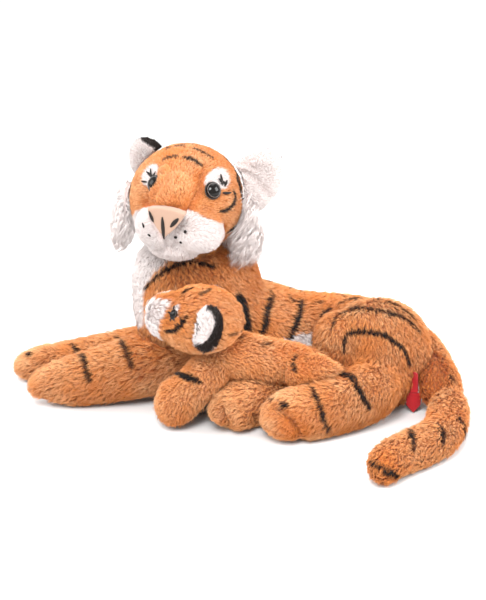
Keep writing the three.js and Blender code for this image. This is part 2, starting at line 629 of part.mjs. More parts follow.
function addRuffsAndEars() {
  const chest = makeChest(SEAM_GAP);
  for (const side of [-1, 1]) {
    const name = sideName(-side);
    const { at, axis } = motherEarSeam(side);
    const sewn = cut(makeRuff(side, 0), makeSkull(SEAM_GAP));
    const ear = cut(makeEar(side, 0), makeSkull(SEAM_GAP), makeEarCup(side));
    const clearEar = swept(makeEar(side, SWING_GAP), at, axis, ...EAR_SWING, FINE_STEPS);
    const ruff = cut(clearOf(sewn, chest, HEAD_AT, headAxis, HEAD_SWING), clearEar);
    addPiece(motherHead, "mother_ruff_" + name, ruff, FINISH.white);
    const group = jointGroup(motherHead, "mother_ear_" + name + "_seam", at, axis, EAR_SWING);
    addPiece(group, "mother_ear_" + name, ear, FINISH.white);
  }
}

function addForelegs() {
  for (const side of [-1, 1]) {
    const at = forelegSeamAt(side);
    const swing = FORELEG_SWING.map((angle) => -angle * side).sort((a, b) => a - b);
    const fixed = makeChest(SEAM_GAP).add(makeTrunk(SEAM_GAP));
    const leg = clearOf(onRest(makeForeleg(side, 0)), fixed, at, UP, swing, FINE_STEPS);
    const group = jointGroup(mother, "mother_foreleg_" + sideName(side) + "_seam", at, UP, swing);
    addPiece(group, "mother_foreleg_" + sideName(side), leg, FINISH.fur);
  }
}

const hindlegGroup =
  jointGroup(mother, "mother_hindleg_left_seam", hindlegSeamAt, UP, HINDLEG_SWING);
function addHindlegs() {
  const trunk = makeTrunk(SEAM_GAP);
  const leg = clearOf(onRest(makeHindleg(0)), trunk, hindlegSeamAt, UP, HINDLEG_SWING);
  const swinging = swept(makeHindleg(SEAM_GAP), hindlegSeamAt, UP, ...HINDLEG_SWING, FINE_STEPS);
  const under = cut(onRest(makeFarHindleg(0)), makeTrunk(SEAM_GAP), swinging);
  addPiece(hindlegGroup, "mother_hindleg_left", leg, FINISH.fur);
  addPiece(mother, "mother_hindleg_right", under, FINISH.fur);
}

function addTail() {
  const thigh = swept(makeHindleg(SWING_GAP), hindlegSeamAt, UP, ...HINDLEG_SWING, FINE_STEPS);
  const body = makeTrunk(SEAM_GAP).add(thigh);
  const end = swept(makeTailEnd(SWING_GAP), tailBendAt, UP, ...TAIL_END_SWING, FINE_STEPS);
  const root = cut(clearOf(makeTailRoot(0), body, tailSeamAt, UP, TAIL_SWING), end);
  const rootGroup = jointGroup(mother, "mother_tail_root_seam", tailSeamAt, UP, TAIL_SWING);
  const endGroup = jointGroup(rootGroup, "mother_tail_bend", tailBendAt, UP, TAIL_END_SWING);
  addPiece(rootGroup, "mother_tail_root", root, FINISH.fur);
  addPiece(endGroup, "mother_tail_end", onRest(makeTailEnd(0)), FINISH.fur);
}

// The label hangs on its ribbon, which is sewn into the seam behind the left thigh.
function addLabel() {
  const { wide, thick, long } = LABEL;
  const x = thighAt[0] + THIGH.long * 0.33;
  const y = thighAt[1] - THIGH.wide * 0.36;
  const top = long + SWING_GAP;
  const outline = new THREE.Shape();
  outline.moveTo(wide * -0.5, 0);
  outline.lineTo(wide * -0.5, long * -0.62);
  outline.lineTo(0, -long);
  outline.lineTo(wide * 0.5, long * -0.62);
  outline.lineTo(wide * 0.5, 0);
  const geometry = new THREE.ExtrudeGeometry(outline, { depth: thick, bevelEnabled: false });
  geometry.rotateX(Math.PI / 2);
  geometry.translate(x, y + thick / 2, top);
  const ribbonAt = [x, y, top + SWING_GAP + RIBBON.long / 2];
  const ribbon = block(IN_PLACE, ribbonAt, { x: RIBBON.wide, y: RIBBON.thick, z: RIBBON.long });
  const hingeAt = new THREE.Vector3(x, y, top + SWING_GAP / 2);
  const swing = jointGroup(hindlegGroup, "hang_label_swing", hingeAt, ALONG, LABEL_SWING);
  addPiece(hindlegGroup, "hang_ribbon", cut(ribbon, makeHindleg(SEAM_GAP)), FINISH.red);
  addPiece(swing, "hang_label", solidOf(geometry), FINISH.red);
}

cub.userData = { axis: LIFT.toArray(), slide: [0, LIFT_FAR] };

function addCubTrunk(mothers) {
  const head = swept(makeCubSkull(SWING_GAP), CUB_HEAD_AT, UP, ...CUB_HEAD_SWING, STEPS);
  addPiece(cub, "cub_trunk", cut(makeCubTrunk(0), mothers, head), FINISH.fur);
}

function addCubHead(mothers) {
  const clear = (solid) => clearOf(solid, mothers, CUB_HEAD_AT, UP, CUB_HEAD_SWING, FINE_STEPS);
  const skull = makeCubSkull(SEAM_GAP);
  const sockets = [-1, 1].map((side) => eyePost(cubEyeFrame(side), CUB_EYE, SEAM_GAP));
  const earRoot = cut(makeCubEar(-1, SWING_GAP), makeCubSkull(0));
  const ear = swept(earRoot, cubEarSeamAt, UP, ...CUB_EAR_SWING, FINEST_STEPS);
  addPiece(cubHead, "cub_head", cut(clear(makeCubSkull(0)), ...sockets, ear), FINISH.fur);
  addPiece(cubHead, "cub_muzzle", cut(clear(makeCubMuzzle(0)), skull), FINISH.white);
  const noseSize = { x: CUB_NOSE.deep, y: CUB_NOSE.wide, z: CUB_NOSE.high };
  const nose = pad(cubHeadFrame, cubNoseAt, noseSize);
  addPiece(cubHead, "cub_nose", cut(nose, makeCubMuzzle(SEAM_GAP)), FINISH.nose);
  for (const side of [-1, 1]) {
    const name = sideName(side);
    addPiece(cubHead, "cub_eye_" + name, makeEye(cubEyeFrame(side), CUB_EYE, skull), FINISH.eye);
  }
  const earGroup = jointGroup(cubHead, "cub_ear_left_seam", cubEarSeamAt, UP, CUB_EAR_SWING);
  const earLeft = cut(makeCubEar(-1, 0), skull, makeCubEarCup(-1));
  addPiece(earGroup, "cub_ear_left", earLeft, FINISH.white);
  addPiece(cubHead, "cub_ear_right", cut(clear(makeCubEar(1, 0)), skull), FINISH.white);
}

// The mother's legs, grown by the gap, as they lie and as the cub passes them when it is lifted.
function legsInTheWay() {
  const foreleg = swept(
    makeForeleg(-1, SWING_GAP),
    forelegSeamAt(-1),
    UP,
    ...FORELEG_SWING,
    STEPS,
  );
  const hindleg = swept(makeHindleg(SWING_GAP), hindlegSeamAt, UP, ...HINDLEG_SWING, STEPS);
  const legs = foreleg.add(hindleg).add(makeFarHindleg(SWING_GAP));
  return slid(legs, LIFT.clone().negate(), LIFT_FAR * LIFT_CLEAR_SHARE, FINE_STEPS);
}

function addCubForelegs(mothers, body, legs) {
  const swing = CUB_FORELEG_SWING;
  const cleared = clearOf(onRest(makeCubForeleg(-1, 0)), body, cubForelegSeamAt, UP, swing);
  const left = cut(cleared, mothers, legs);
  const right = cut(onRest(makeCubForeleg(1, 0)), body, mothers, legs, makeCubForeleg(-1, SWING_GAP));
  const group = jointGroup(cub, "cub_foreleg_left_seam", cubForelegSeamAt, UP, swing);
  addPiece(group, "cub_foreleg_left", left, FINISH.fur);
  addPiece(cub, "cub_foreleg_right", right, FINISH.fur);
}

function addCubHindlegsAndTail(mothers, body, legs) {
  const left = cut(makeCubHindleg(-1, 0), body, mothers, legs);
  const right = cut(makeCubHindleg(1, 0), body, mothers, legs, makeCubHindleg(-1, SEAM_GAP));
  addPiece(cub, "cub_hindleg_left", left, FINISH.fur);
  addPiece(cub, "cub_hindleg_right", right, FINISH.fur);
  const behind = [body, mothers, legs, makeCubHindleg(-1, SEAM_GAP), makeCubHindleg(1, SEAM_GAP)];
  addPiece(cub, "cub_tail", cut(makeCubTail(0), ...behind), FINISH.fur);
}

function addCub() {
  const under = [makeChest(SEAM_GAP), makeHindleg(SEAM_GAP), makeFarHindleg(SEAM_GAP)];
  under.push(makeForeleg(-1, SEAM_GAP));
  const resting = under.reduce((sum, solid) => sum.add(solid), makeTrunk(SEAM_GAP));
  const body = makeCubTrunk(SEAM_GAP).add(makeCubSkull(SWING_GAP));
  const legs = legsInTheWay();
  addCubTrunk(resting);
  addCubHead(resting);
  addCubForelegs(resting, body, legs);
  addCubHindlegsAndTail(resting, body, legs);
}

addTrunkAndChest();
addHead();
addFace();
addRuffsAndEars();
addForelegs();
addHindlegs();
addTail();
addLabel();
addCub();
export default toy;
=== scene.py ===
"""A plush tiger with her cub: stuffed skins, their pile, and the small sewn and moulded trim."""

import math

import bmesh
import bpy
import numpy as np
from bpy.props import FloatProperty, FloatVectorProperty, IntProperty, PointerProperty
from mathutils import Matrix, Vector
from mathutils.bvhtree import BVHTree
from mathutils.kdtree import KDTree


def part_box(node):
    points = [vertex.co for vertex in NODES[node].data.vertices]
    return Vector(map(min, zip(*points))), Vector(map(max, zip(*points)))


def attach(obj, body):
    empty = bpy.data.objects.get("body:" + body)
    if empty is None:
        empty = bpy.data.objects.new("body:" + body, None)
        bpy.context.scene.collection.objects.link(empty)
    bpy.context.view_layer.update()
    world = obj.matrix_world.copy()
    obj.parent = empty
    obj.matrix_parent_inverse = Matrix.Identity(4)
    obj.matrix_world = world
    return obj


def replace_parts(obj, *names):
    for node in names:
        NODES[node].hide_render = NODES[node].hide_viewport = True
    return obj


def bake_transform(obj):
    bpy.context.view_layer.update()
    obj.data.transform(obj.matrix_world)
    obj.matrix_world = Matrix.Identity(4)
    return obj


bl_info = {
    "name": "Plush tiger with cub",
    "version": (1, 0, 0),
    "blender": (4, 5, 0),
    "location": "View3D > Sidebar > Plush",
    "description": "Dresses the stuffed forms of a plush tiger and her cub in skins and pile",
    "category": "Object",
}

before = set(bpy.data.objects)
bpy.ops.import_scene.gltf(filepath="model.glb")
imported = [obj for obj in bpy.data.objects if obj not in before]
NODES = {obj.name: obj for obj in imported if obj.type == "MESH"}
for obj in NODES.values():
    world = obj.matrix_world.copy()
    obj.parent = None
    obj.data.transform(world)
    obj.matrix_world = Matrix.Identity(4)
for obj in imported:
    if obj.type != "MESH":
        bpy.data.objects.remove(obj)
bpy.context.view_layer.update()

# The photograph's frame, and where its camera stands
PHOTO_WIDE, PHOTO_HIGH = 486, 600
FOCAL_PX = 1612.9
SENSOR_MM = 36.0
CAMERA_AT = Vector((-0.04185, -1.370724, 0.641240))
CAMERA_AIM = Vector((-0.04185, 0.020051, 0.079330))

MM = 0.001
# Values for finding places
NEAREST, FURTHEST, RAY_STEP = 1.2, 1.7, 0.005  # how far from the camera a grazed skin is looked for
GRAZE = 7 * MM  # how far a ray may pass from the skin that it grazes

# Values for the skins
WELD = 0.02 * MM  # corners of a solid closer than this are made one
SWELL = 0.9  # mm that each solid grows by, so that close neighbours run together
LOWEST_SKIN = 0.4 * MM
WIDEST_CREASE = 7 * MM  # a wider one is a hollow, whose pile stands as elsewhere

# Values for the markings
STRIPE_SPREAD = 1.3  # how much wider a stripe is dyed than it shows between the strands
MIRROR_REACH = 0.15  # stripes further along than this aren't repeated on the hidden side
BLUR = 0.36 * MM  # how far strands carry a stripe's colour over its edge
BLUR_PX = 0.45  # the same for the white areas, in pixels of the photograph
STRIPE_EDGE, SPOT_EDGE, AREA_EDGE_PX = 0.8 * MM, 1.6 * MM, 1.6

# Values for the pile and the trim
STRANDS_A_PIECE = 19000
LOWEST_ROOT, LOWEST_STRAND = 1.2 * MM, 0.5 * MM
ROOT_DEPTH = 0.4 * MM  # how far strands reach into their skin
COMB_REACH = 0.015  # metres over which one comb stroke gives way to the next
STRAY = 0.12  # radians that single strands stray from the way of their clump
CLUMP_TONES, STRAND_TONES = 0.6, 0.5  # how much the colour varies by clump and by strand
LENGTHS, SHORTEST, LONGEST = 0.16, 0.55, 1.5  # how much lengths vary, and between which shares
MIDDLE_PULL = 0.35  # the share of a clump's pull that strands feel at their middle
CREASE_CUT, CREASE_SHADE_TONE = 0.65, 3.0  # how much shorter the pile is in a crease, and how much its colour is deepened there as painted shade
SHADE_LINE_DEPTH, SHADE_LINE_WIDTH = 2 * MM, 1.2 * MM  # creases deeper than this get a line of painted shade, this wide
# how soft the edges of the patches of painted shade and painted light are, in pixels
PAINTED_LIGHT_EDGE_PX = 8
CORNERS = 7  # of one strand: two rings of three, and the tip
STRAND_SPOT = 0.0016  # a strand's size in the flat layout for baking
THREAD_SIDES = 8
ROUND = 40  # sides of a moulded round shape


# Where things are seen in the photograph


def photo_ray(across, down):
    """The camera's ray through a point of the photograph."""
    ahead = (CAMERA_AIM - CAMERA_AT).normalized()
    right = Vector((1, 0, 0))
    up = right.cross(ahead).normalized()
    way = ahead * FOCAL_PX + right * (across - PHOTO_WIDE / 2) - up * (down - PHOTO_HIGH / 2)
    return CAMERA_AT, way.normalized()


def hit_at(names, across, down):
    """Where the ray through a point of the photograph first meets one of these forms."""
    start, way = photo_ray(across, down)
    best = None
    for name in names:
        place, normal, _, far = skin_of(name)["tree"].ray_cast(start, way)
        if place is not None and (best is None or far < best[2]):
            best = (place, normal, far)
    return best or grazed_at([skin_of(name)["tree"] for name in names], start, way)


def grazed_at(trees, start, way):
    """The place of these skins that a ray passes closest to, when it runs just past their edge."""
    best = None
    for tree in trees:
        for far in np.arange(NEAREST, FURTHEST, RAY_STEP):
            place, normal, _, gap = tree.find_nearest(start + way * float(far), GRAZE)
            if place is not None and (best is None or gap < best[2]):
                best = (place, normal, gap)
    return best


def seen_at(places):
    """Where places fall in the photograph."""
    ahead = np.array((CAMERA_AIM - CAMERA_AT).normalized())
    right = np.array((1.0, 0, 0))
    up = np.cross(right, ahead)
    off = places - np.array(CAMERA_AT)
    far = off @ ahead
    across = PHOTO_WIDE / 2 + FOCAL_PX * (off @ right) / far
    down = PHOTO_HIGH / 2 - FOCAL_PX * (off @ up) / far
    return np.stack([across, down], 1)


def within(points, outline):
    """How far points lie inside a closed outline: positive inside, negative outside."""
    corners = np.array(outline, float)
    inside = np.zeros(len(points), bool)
    far = np.full(len(points), 1e9)
    for a, b in zip(corners, np.roll(corners, -1, axis=0)):
        crosses = (a[1] > points[:, 1]) != (b[1] > points[:, 1])
        at = a[0] + (points[:, 1] - a[1]) / ((b[1] - a[1]) or 1e-9) * (b[0] - a[0])
        inside ^= crosses & (points[:, 0] < at)
        along = np.clip(((points - a) @ (b - a)) / max((b - a) @ (b - a), 1e-9), 0, 1)
        far = np.minimum(far, np.linalg.norm(points - a - along[:, None] * (b - a), axis=1))
    return np.where(inside, far, -far)


def spread(points, step=1.5):
    """A smooth line through points of the photograph, in even steps of so many pixels."""
    p = np.array([points[0], *points, points[-1]], float)
    out = []
    for i in range(1, len(p) - 2):
        count = max(2, int(np.linalg.norm(p[i + 1] - p[i]) / step))
        for t in np.arange(count) / count:
            a, b, c, d = p[i - 1], p[i], p[i + 1], p[i + 2]
            square, cube = 2 * a - 5 * b + 4 * c - d, 3 * b - a - 3 * c + d
            out.append(0.5 * (2 * b + (c - a) * t + square * t**2 + cube * t**3))
    out.append(p[-1])
    return np.array(out)


# Markings, as lines over the photograph: width in mm, how dark, then the points

MOTHER_STRIPES = [
    (3.4, 1, [(148, 289), (156, 281), (170, 271), (184, 265), (195, 263), (214, 269)]),
    # The wide flank stripe behind the cub's head is partly painted shadow: it takes in the contact shadow that
    # the cub's head casts on the flank
    (8.5, 1, [(238, 297), (243, 312), (246, 332), (247, 345)]),
    (4.6, 1, [(273, 298), (268, 312), (266, 325), (261, 338)]),
    (4.6, 1, [(302, 303), (300, 317), (295, 330), (291, 340)]),
    (2.6, 1, [(289, 292), (295, 292)]),
    (2.4, 0.8, [(314, 296), (322, 297)]),
    (2.6, 1, [(265, 268), (268, 275), (272, 281)]),
    (2.4, 1, [(339, 307), (350, 303), (362, 302), (380, 303), (393, 307), (405, 314.5), (415, 324)]),
    (2.7, 1, [(331, 333), (335, 322), (345, 315), (362, 311), (382, 314), (400, 319), (411, 327), (418, 335)]),
    (3.2, 1, [(343, 353), (343, 342), (350, 335), (365, 334), (382, 336), (395, 344), (404, 353), (408, 365)]),
    (3.0, 1, [(323, 317), (331, 311)]),
    (4.4, 1, [(341, 376), (350, 379.5), (356, 388), (362, 401), (367, 409)]),
    (3.2, 1, [(306, 389), (311, 391.5), (315, 401), (319.5, 412), (322.5, 424), (326, 429.5)]),
    (3.9, 1, [(281.5, 406.5), (286, 407.5)]),
    (3.0, 1, [(270.5, 402.5), (272.5, 403)]),
    (3.0, 0.9, [(448, 378), (453, 386)]),
    (3.6, 1, [(437, 427), (441, 435), (439, 445)]),
    (3.2, 1, [(456, 420), (461, 430), (462, 440)]),
    (3.4, 1, [(409, 434), (412, 443), (411, 452)]),
    (3.2, 1, [(373.5, 465), (380, 469.5), (388, 473), (395, 475), (402, 478)]),
    (4.0, 0.95, [(72, 347), (78, 354), (84, 362), (86, 372), (88, 380)]),
    (4.4, 0.9, [(116, 339), (122, 345), (127, 357), (131, 368)]),
    (3.4, 1, [(28, 357), (31, 356)]),
]
HEAD_STRIPES = [
    (2.4, 1, [(193, 149), (199, 151), (206, 155), (212.5, 159)]),
    (3.2, 1, [(183.5, 157.5), (191, 159), (197, 162), (201.5, 166)]),
    (3.4, 0.9, [(167, 150), (170, 148.5)]),
    (2.6, 0.85, [(175, 147), (184, 147)]),
    (3.2, 0.9, [(164, 160), (168, 158), (177, 156.5)]),
    (5.6, 1, [(226, 159), (230, 163), (234.5, 172), (238, 184), (241, 197), (242, 208), (240, 217), (235, 225),
              (228, 231)]),
    (3.4, 1, [(233, 192), (235, 198), (232, 205), (226, 210.5), (220, 211.5)]),
    (2.0, 1, [(130, 198), (132, 206), (133, 213)]),
]
CUB_STRIPES = [
    (2.2, 0.9, [(262, 347), (272, 345)]),
    (1.8, 0.7, [(239, 341), (246, 337)]),
    (3.0, 0.95, [(296, 357), (294, 364), (296, 372)]),
    (4.4, 1, [(170, 375), (177, 375.5), (187, 378), (199, 382)]),
]
CUB_HEAD_STRIPES = [
    (3.6, 1, [(168, 330), (175, 331), (183, 325), (188, 317)]),
    (3.2, 1, [(184, 294.5), (188, 292.5), (193.5, 290)]),
    (2.8, 0.8, [(201.5, 296.5), (206, 294), (211.5, 291)]),
    (3.0, 0.7, [(229, 334), (236, 332), (241, 330)]),
]
# Markings on the ears: the dark rims that wrap over from their backs
FAR_EAR_STRIPES = [(9.6, 1, [(146, 136), (150, 136.5), (155, 139.5), (159.5, 145), (161, 152)])]
CUB_EAR_STRIPES = [
    (5.2, 1, [(209, 305), (214.5, 308.5), (218, 315), (219, 323)]),
    (8.0, 1, [(221, 319), (219.5, 330), (215, 339.5), (209, 346.5), (202, 350), (196, 350)]),
]
# White areas seen in the photograph, as outlines over it
AREAS = {
    "mother_body": [
        [(166, 250), (172, 256), (169, 264), (157, 274), (149, 285), (146, 296), (147, 326), (136, 331),
         (130, 333), (124, 300), (124, 240)],
        [(272, 345), (286, 340), (300, 335), (318, 334), (330, 344), (327, 356), (318, 362), (300, 364),
         (280, 358)],
    ],
    "mother_head": [
        [(147, 207), (166, 212), (184, 212), (188, 209), (193, 211), (205, 218), (222, 225), (224, 235),
         (217, 247), (206, 252), (190, 268), (150, 268), (125, 246), (127, 231), (131, 222), (137, 211)],
        [(204, 184), (206, 177), (212, 171), (218, 168), (225, 170), (229, 176), (229, 184), (226, 189),
         (214, 190)],
        [(142, 178), (145, 171), (151, 165.5), (157, 164.5), (159, 170), (156, 177), (154, 184), (149, 187),
         (144, 185)],
    ],
    "cub_head": [
        [(142, 290), (149, 296), (160, 300), (172, 301.5), (170, 308), (164, 318), (161.5, 326), (161, 333),
         (163.5, 342), (167, 350), (170, 358), (150, 340), (136, 315)],
        [(175.5, 306), (181, 305), (181.5, 309), (178, 316), (174.5, 319), (173.5, 313)],
    ],
    "cub_body": [
        [(171, 352), (177, 353), (177, 362), (172, 374), (168, 374)],
    ],
}
# White places that the photograph hides, in metres with a radius
MOTHER_PALE_AT = [
    (-0.15, -0.005, 0.12, 0.032), (-0.135, 0.0, 0.15, 0.03),
    (0.0, 0.0, -0.015, 0.04), (0.05, 0.0, -0.015, 0.04), (-0.05, 0.0, -0.015, 0.04),
]
CUB_PALE_AT = [(-0.042, -0.078, 0.03, 0.014)]

# Painted shade and painted light on the pile: a positive amount deepens its colour as painted shade (the fold of
# the thigh, the chest under the head, the elbow, and the tail root, where the pile also lies against its nap), a
# negative one lightens the paws as painted light: how much, then the outline
PAINTED_LIGHT_AND_NAP = {
    "mother_tail": [
        (3.2, [(421, 348), (434, 350), (446, 364), (450, 384), (438, 396), (424, 406), (416, 396), (418, 372)]),
    ],
    "mother_near_hindleg": [
        (1.9, [(325, 345), (345, 350), (364, 362), (354, 376), (338, 376), (328, 364)]),
        (-1.6, [(262, 412), (268, 400), (284, 390), (306, 388), (328, 440), (275, 442)]),
    ],
    "mother_under_leg": [
        (-1.3, [(205, 392), (225, 380), (262, 382), (262, 440), (225, 440), (206, 420)]),
    ],
    "mother_far_foreleg": [
        (-1.0, [(12, 350), (40, 340), (75, 340), (72, 360), (30, 385), (12, 380)]),
    ],
    "mother_body": [
        (1.8, [(161, 284), (170, 270), (190, 262), (215, 263), (222, 276), (205, 284), (185, 286)]),
    ],
    "mother_near_foreleg": [
        (-1.0, [(26, 390), (40, 368), (66, 362), (76, 404), (40, 410)]),
        (1.6, [(128, 330), (150, 333), (166, 348), (161, 372), (140, 381), (126, 360)]),
    ],
}

# Seams and folds seen in the photograph: depth and half width in mm, then the points. A negative depth is a raise
CREASES = {
    "mother_under_leg": [
        (7.0, 4.6, [(223, 408), (226, 416), (230, 425), (236, 434)]),
        (6.0, 4.4, [(254, 414), (257, 424), (259, 434)]),
    ],
    "mother_near_foreleg": [
        (-5.0, 13.0, [(38, 386), (45, 378), (54, 373)]),
        (3.0, 4.0, [(31, 378), (40, 373), (54, 368)]),
    ],
    "mother_far_foreleg": [
        (-7.0, 14.0, [(27, 366), (35, 361), (46, 357)]),
        (3.6, 4.0, [(25, 370), (29, 375), (32, 380)]),
    ],
    "mother_near_hindleg": [
        (-14.0, 24.0, [(333, 334), (330, 348), (334, 362)]),
        (-6.0, 15.0, [(399, 385), (397, 402), (389, 414)]),
        (8.0, 4.8, [(277, 409), (286, 415.5), (294.5, 423), (300, 433), (302, 441)]),
        (5.0, 4.6, [(325, 357), (331, 366), (338, 373), (346, 378)]),
    ],
    "mother_body": [
        (-9.0, 20.0, [(256, 256), (259, 268), (262, 280)]),
    ],
    "head": [
        (-4.5, 12.0, [(176, 180), (172, 190), (166, 199)]),
        (3.6, 4.0, [(200, 175), (199, 182), (198, 190), (194, 198), (191, 204), (188, 211)]),
        (-4.8, 6.0, [(165, 172), (164, 180), (161, 188), (156, 195)]),
        (1.8, 2.6, [(152, 195), (148, 201), (146, 206)]),
        (1.4, 2.6, [(146, 205), (160, 205.5), (175, 208), (186, 211)]),
        (2.4, 3.4, [(164, 236), (166, 242), (168, 247)]),
        (1.6, 3.4, [(222, 226), (223, 236), (216, 247)]),
    ],
    "cub_near_hindleg": [(-4.5, 11.0, [(314, 360), (322, 365)])],
    "mother_tail": [(-6.0, 16.0, [(432, 368), (431, 382), (431, 396)])],
    "mother_near_ear": [
        (1.9, 4.4, [(236, 170), (246, 174), (256, 181), (264, 190), (268, 197)]),
        (1.2, 3.4, [(238, 164), (248, 166), (256, 170)]),
    ],
}

# Threads seen in the photograph: width in mm, then the points
NOSE_STITCHES = [
    (3.0, [(149, 211), (151, 216), (153.5, 222)]),
    (3.6, [(178.5, 218.5), (174.5, 222.5), (170.5, 227)]),
    (3.2, [(162.3, 217), (163, 228), (163.8, 239)]),
]
MOTHER_LASHES = [
    (2.8, [(219.3, 175.5), (220, 180), (220.5, 186)]), (2.6, [(217, 179.5), (220, 182), (224.5, 184)]),
    (2.6, [(223, 187), (224.5, 183), (225, 181)]), (1.8, [(204, 192), (208, 193)]),
    (2.4, [(221, 193), (225, 193.3), (229, 192.8)]), (2.6, [(148.5, 173), (152, 176), (156, 180)]),
    (2.0, [(152, 170), (152.5, 174), (153, 180)]), (1.8, [(143.5, 182), (149, 183)]),
    (2.0, [(157, 173), (155, 177), (151.5, 180.5)]),
]
WHISKER_DOTS = [
    (3.2, [(185, 232), (187.8, 231)]), (2.6, [(173.5, 235), (176, 237)]), (2.8, [(180.8, 240.2), (183.4, 241.6)]),
    (2.2, [(144.4, 223.2), (144.8, 225), (145.3, 227.8)]), (2.2, [(149, 233), (151.8, 235.2)]),
]
CUB_LASHES = [
    (1.8, [(167.5, 311.5), (170, 313), (173, 315)]), (1.6, [(175.5, 306.5), (174.5, 311)]),
    (1.5, [(172.5, 318), (171, 321)]), (1.5, [(174.5, 318.5), (176.5, 321)]),
]

# Comb strokes: where, and the way the pile lies there


def one_way(*way):
    """A comb that lays the pile one way all over."""
    return [((0, 0, 0), way)]


def away_from(*place):
    """A comb that lays the pile away from a place."""
    return [(place, "away")]


BODY_FLOW = [
    ((-0.09, -0.02, 0.16), (0.3, 0, -1)), ((-0.13, -0.03, 0.09), (-0.2, 0, -1)),
    ((-0.05, -0.05, 0.12), (0.6, -0.2, -0.8)), ((0, 0, 0.09), (1, 0, -0.15)),
    ((0, -0.045, 0.05), (0.7, 0, -0.7)), ((0, 0.045, 0.05), (0.7, 0, -0.7)),
    ((0.08, 0, 0.09), (1, 0, -0.1)), ((0.12, 0, 0.06), (0.8, 0, -0.6)),
]
HIND_FLOW = [
    ((0.08, -0.06, 0.09), (0.35, -0.2, -1)), ((0.11, -0.06, 0.05), (0.1, -0.3, -1)),
    ((0.08, -0.075, 0.03), (-0.7, -0.3, -0.5)), ((0.0, -0.1, 0.03), (-1, -0.3, -0.25)),
]
TAIL_FLOW = [
    ((0.13, -0.02, 0.05), (0.2, -1, -0.5)), ((0.143, -0.057, 0.02), (-0.1, -1, -0.1)),
    ((0.138, -0.096, 0.02), (-0.25, -1, 0)), ((0.126, -0.136, 0.02), (-0.6, -0.8, 0)),
    ((0.099, -0.163, 0.02), (-0.9, -0.6, 0)), ((0.08, -0.18, 0.02), (-0.6, -0.9, 0)),
    ((0.069, -0.2, 0.02), (-0.3, -1, 0)),
]
# The stroke away from the nose is there twice, so that it counts double
HEAD_FLOW = 2 * away_from(-0.098, -0.082, 0.19) + [
    ((-0.05, -0.03, 0.17), (0.6, 0, -0.8)), ((-0.135, -0.03, 0.17), (-0.6, 0, -0.8)),
]
CUB_HEAD_FLOW = away_from(-0.125, -0.088, 0.11) + [((-0.06, -0.09, 0.10), (1, 0, -0.3))]

# Cuts of pile: lengths and widths in mm, strands to a square mm, the strands' lift at root and tip in radians,
# the space between clumps in mm, how far strands are drawn to their clump's tip, and how far clumps turn
LONG_PILE = dict(
    length=7.6, width=0.4, density=1.5, root_lift=0.9, tip_lift=0.28, clump=2.1, pull=0.42, twist=0.3,
)
CUB_PILE = dict(
    length=5.4, width=0.38, density=1.8, root_lift=1.1, tip_lift=0.5, clump=1.7, pull=0.5, twist=0.6,
)
FACE_PILE = dict(
    length=3.8, width=0.34, density=2.6, root_lift=0.75, tip_lift=0.2, clump=2.0, pull=0.3, twist=0.19,
)
EAR_PILE = dict(
    length=2.6, width=0.42, density=2.6, root_lift=0.6, tip_lift=0.05, clump=2.0, pull=0.15, twist=0.19,
)
RUFF_PILE = dict(
    length=22.0, width=0.5, density=1.5, root_lift=0.9, tip_lift=-0.1, clump=3.0, pull=0.52, twist=0.19,
)
CUB_EAR_PILE = dict(EAR_PILE, length=4.0)


def stuffed(solids, body, marks, flow, inset, **more):
    """A stuffed form: its solids, the body it rides, its markings, its comb, and how many mm its skin is set in.

    More may give the skin's voxel size and rounds of smoothing, its pile, and what else skin_of and marked read.
    """
    return dict(solids=solids, body=body, marks=marks, flow=flow, inset=inset, **more)


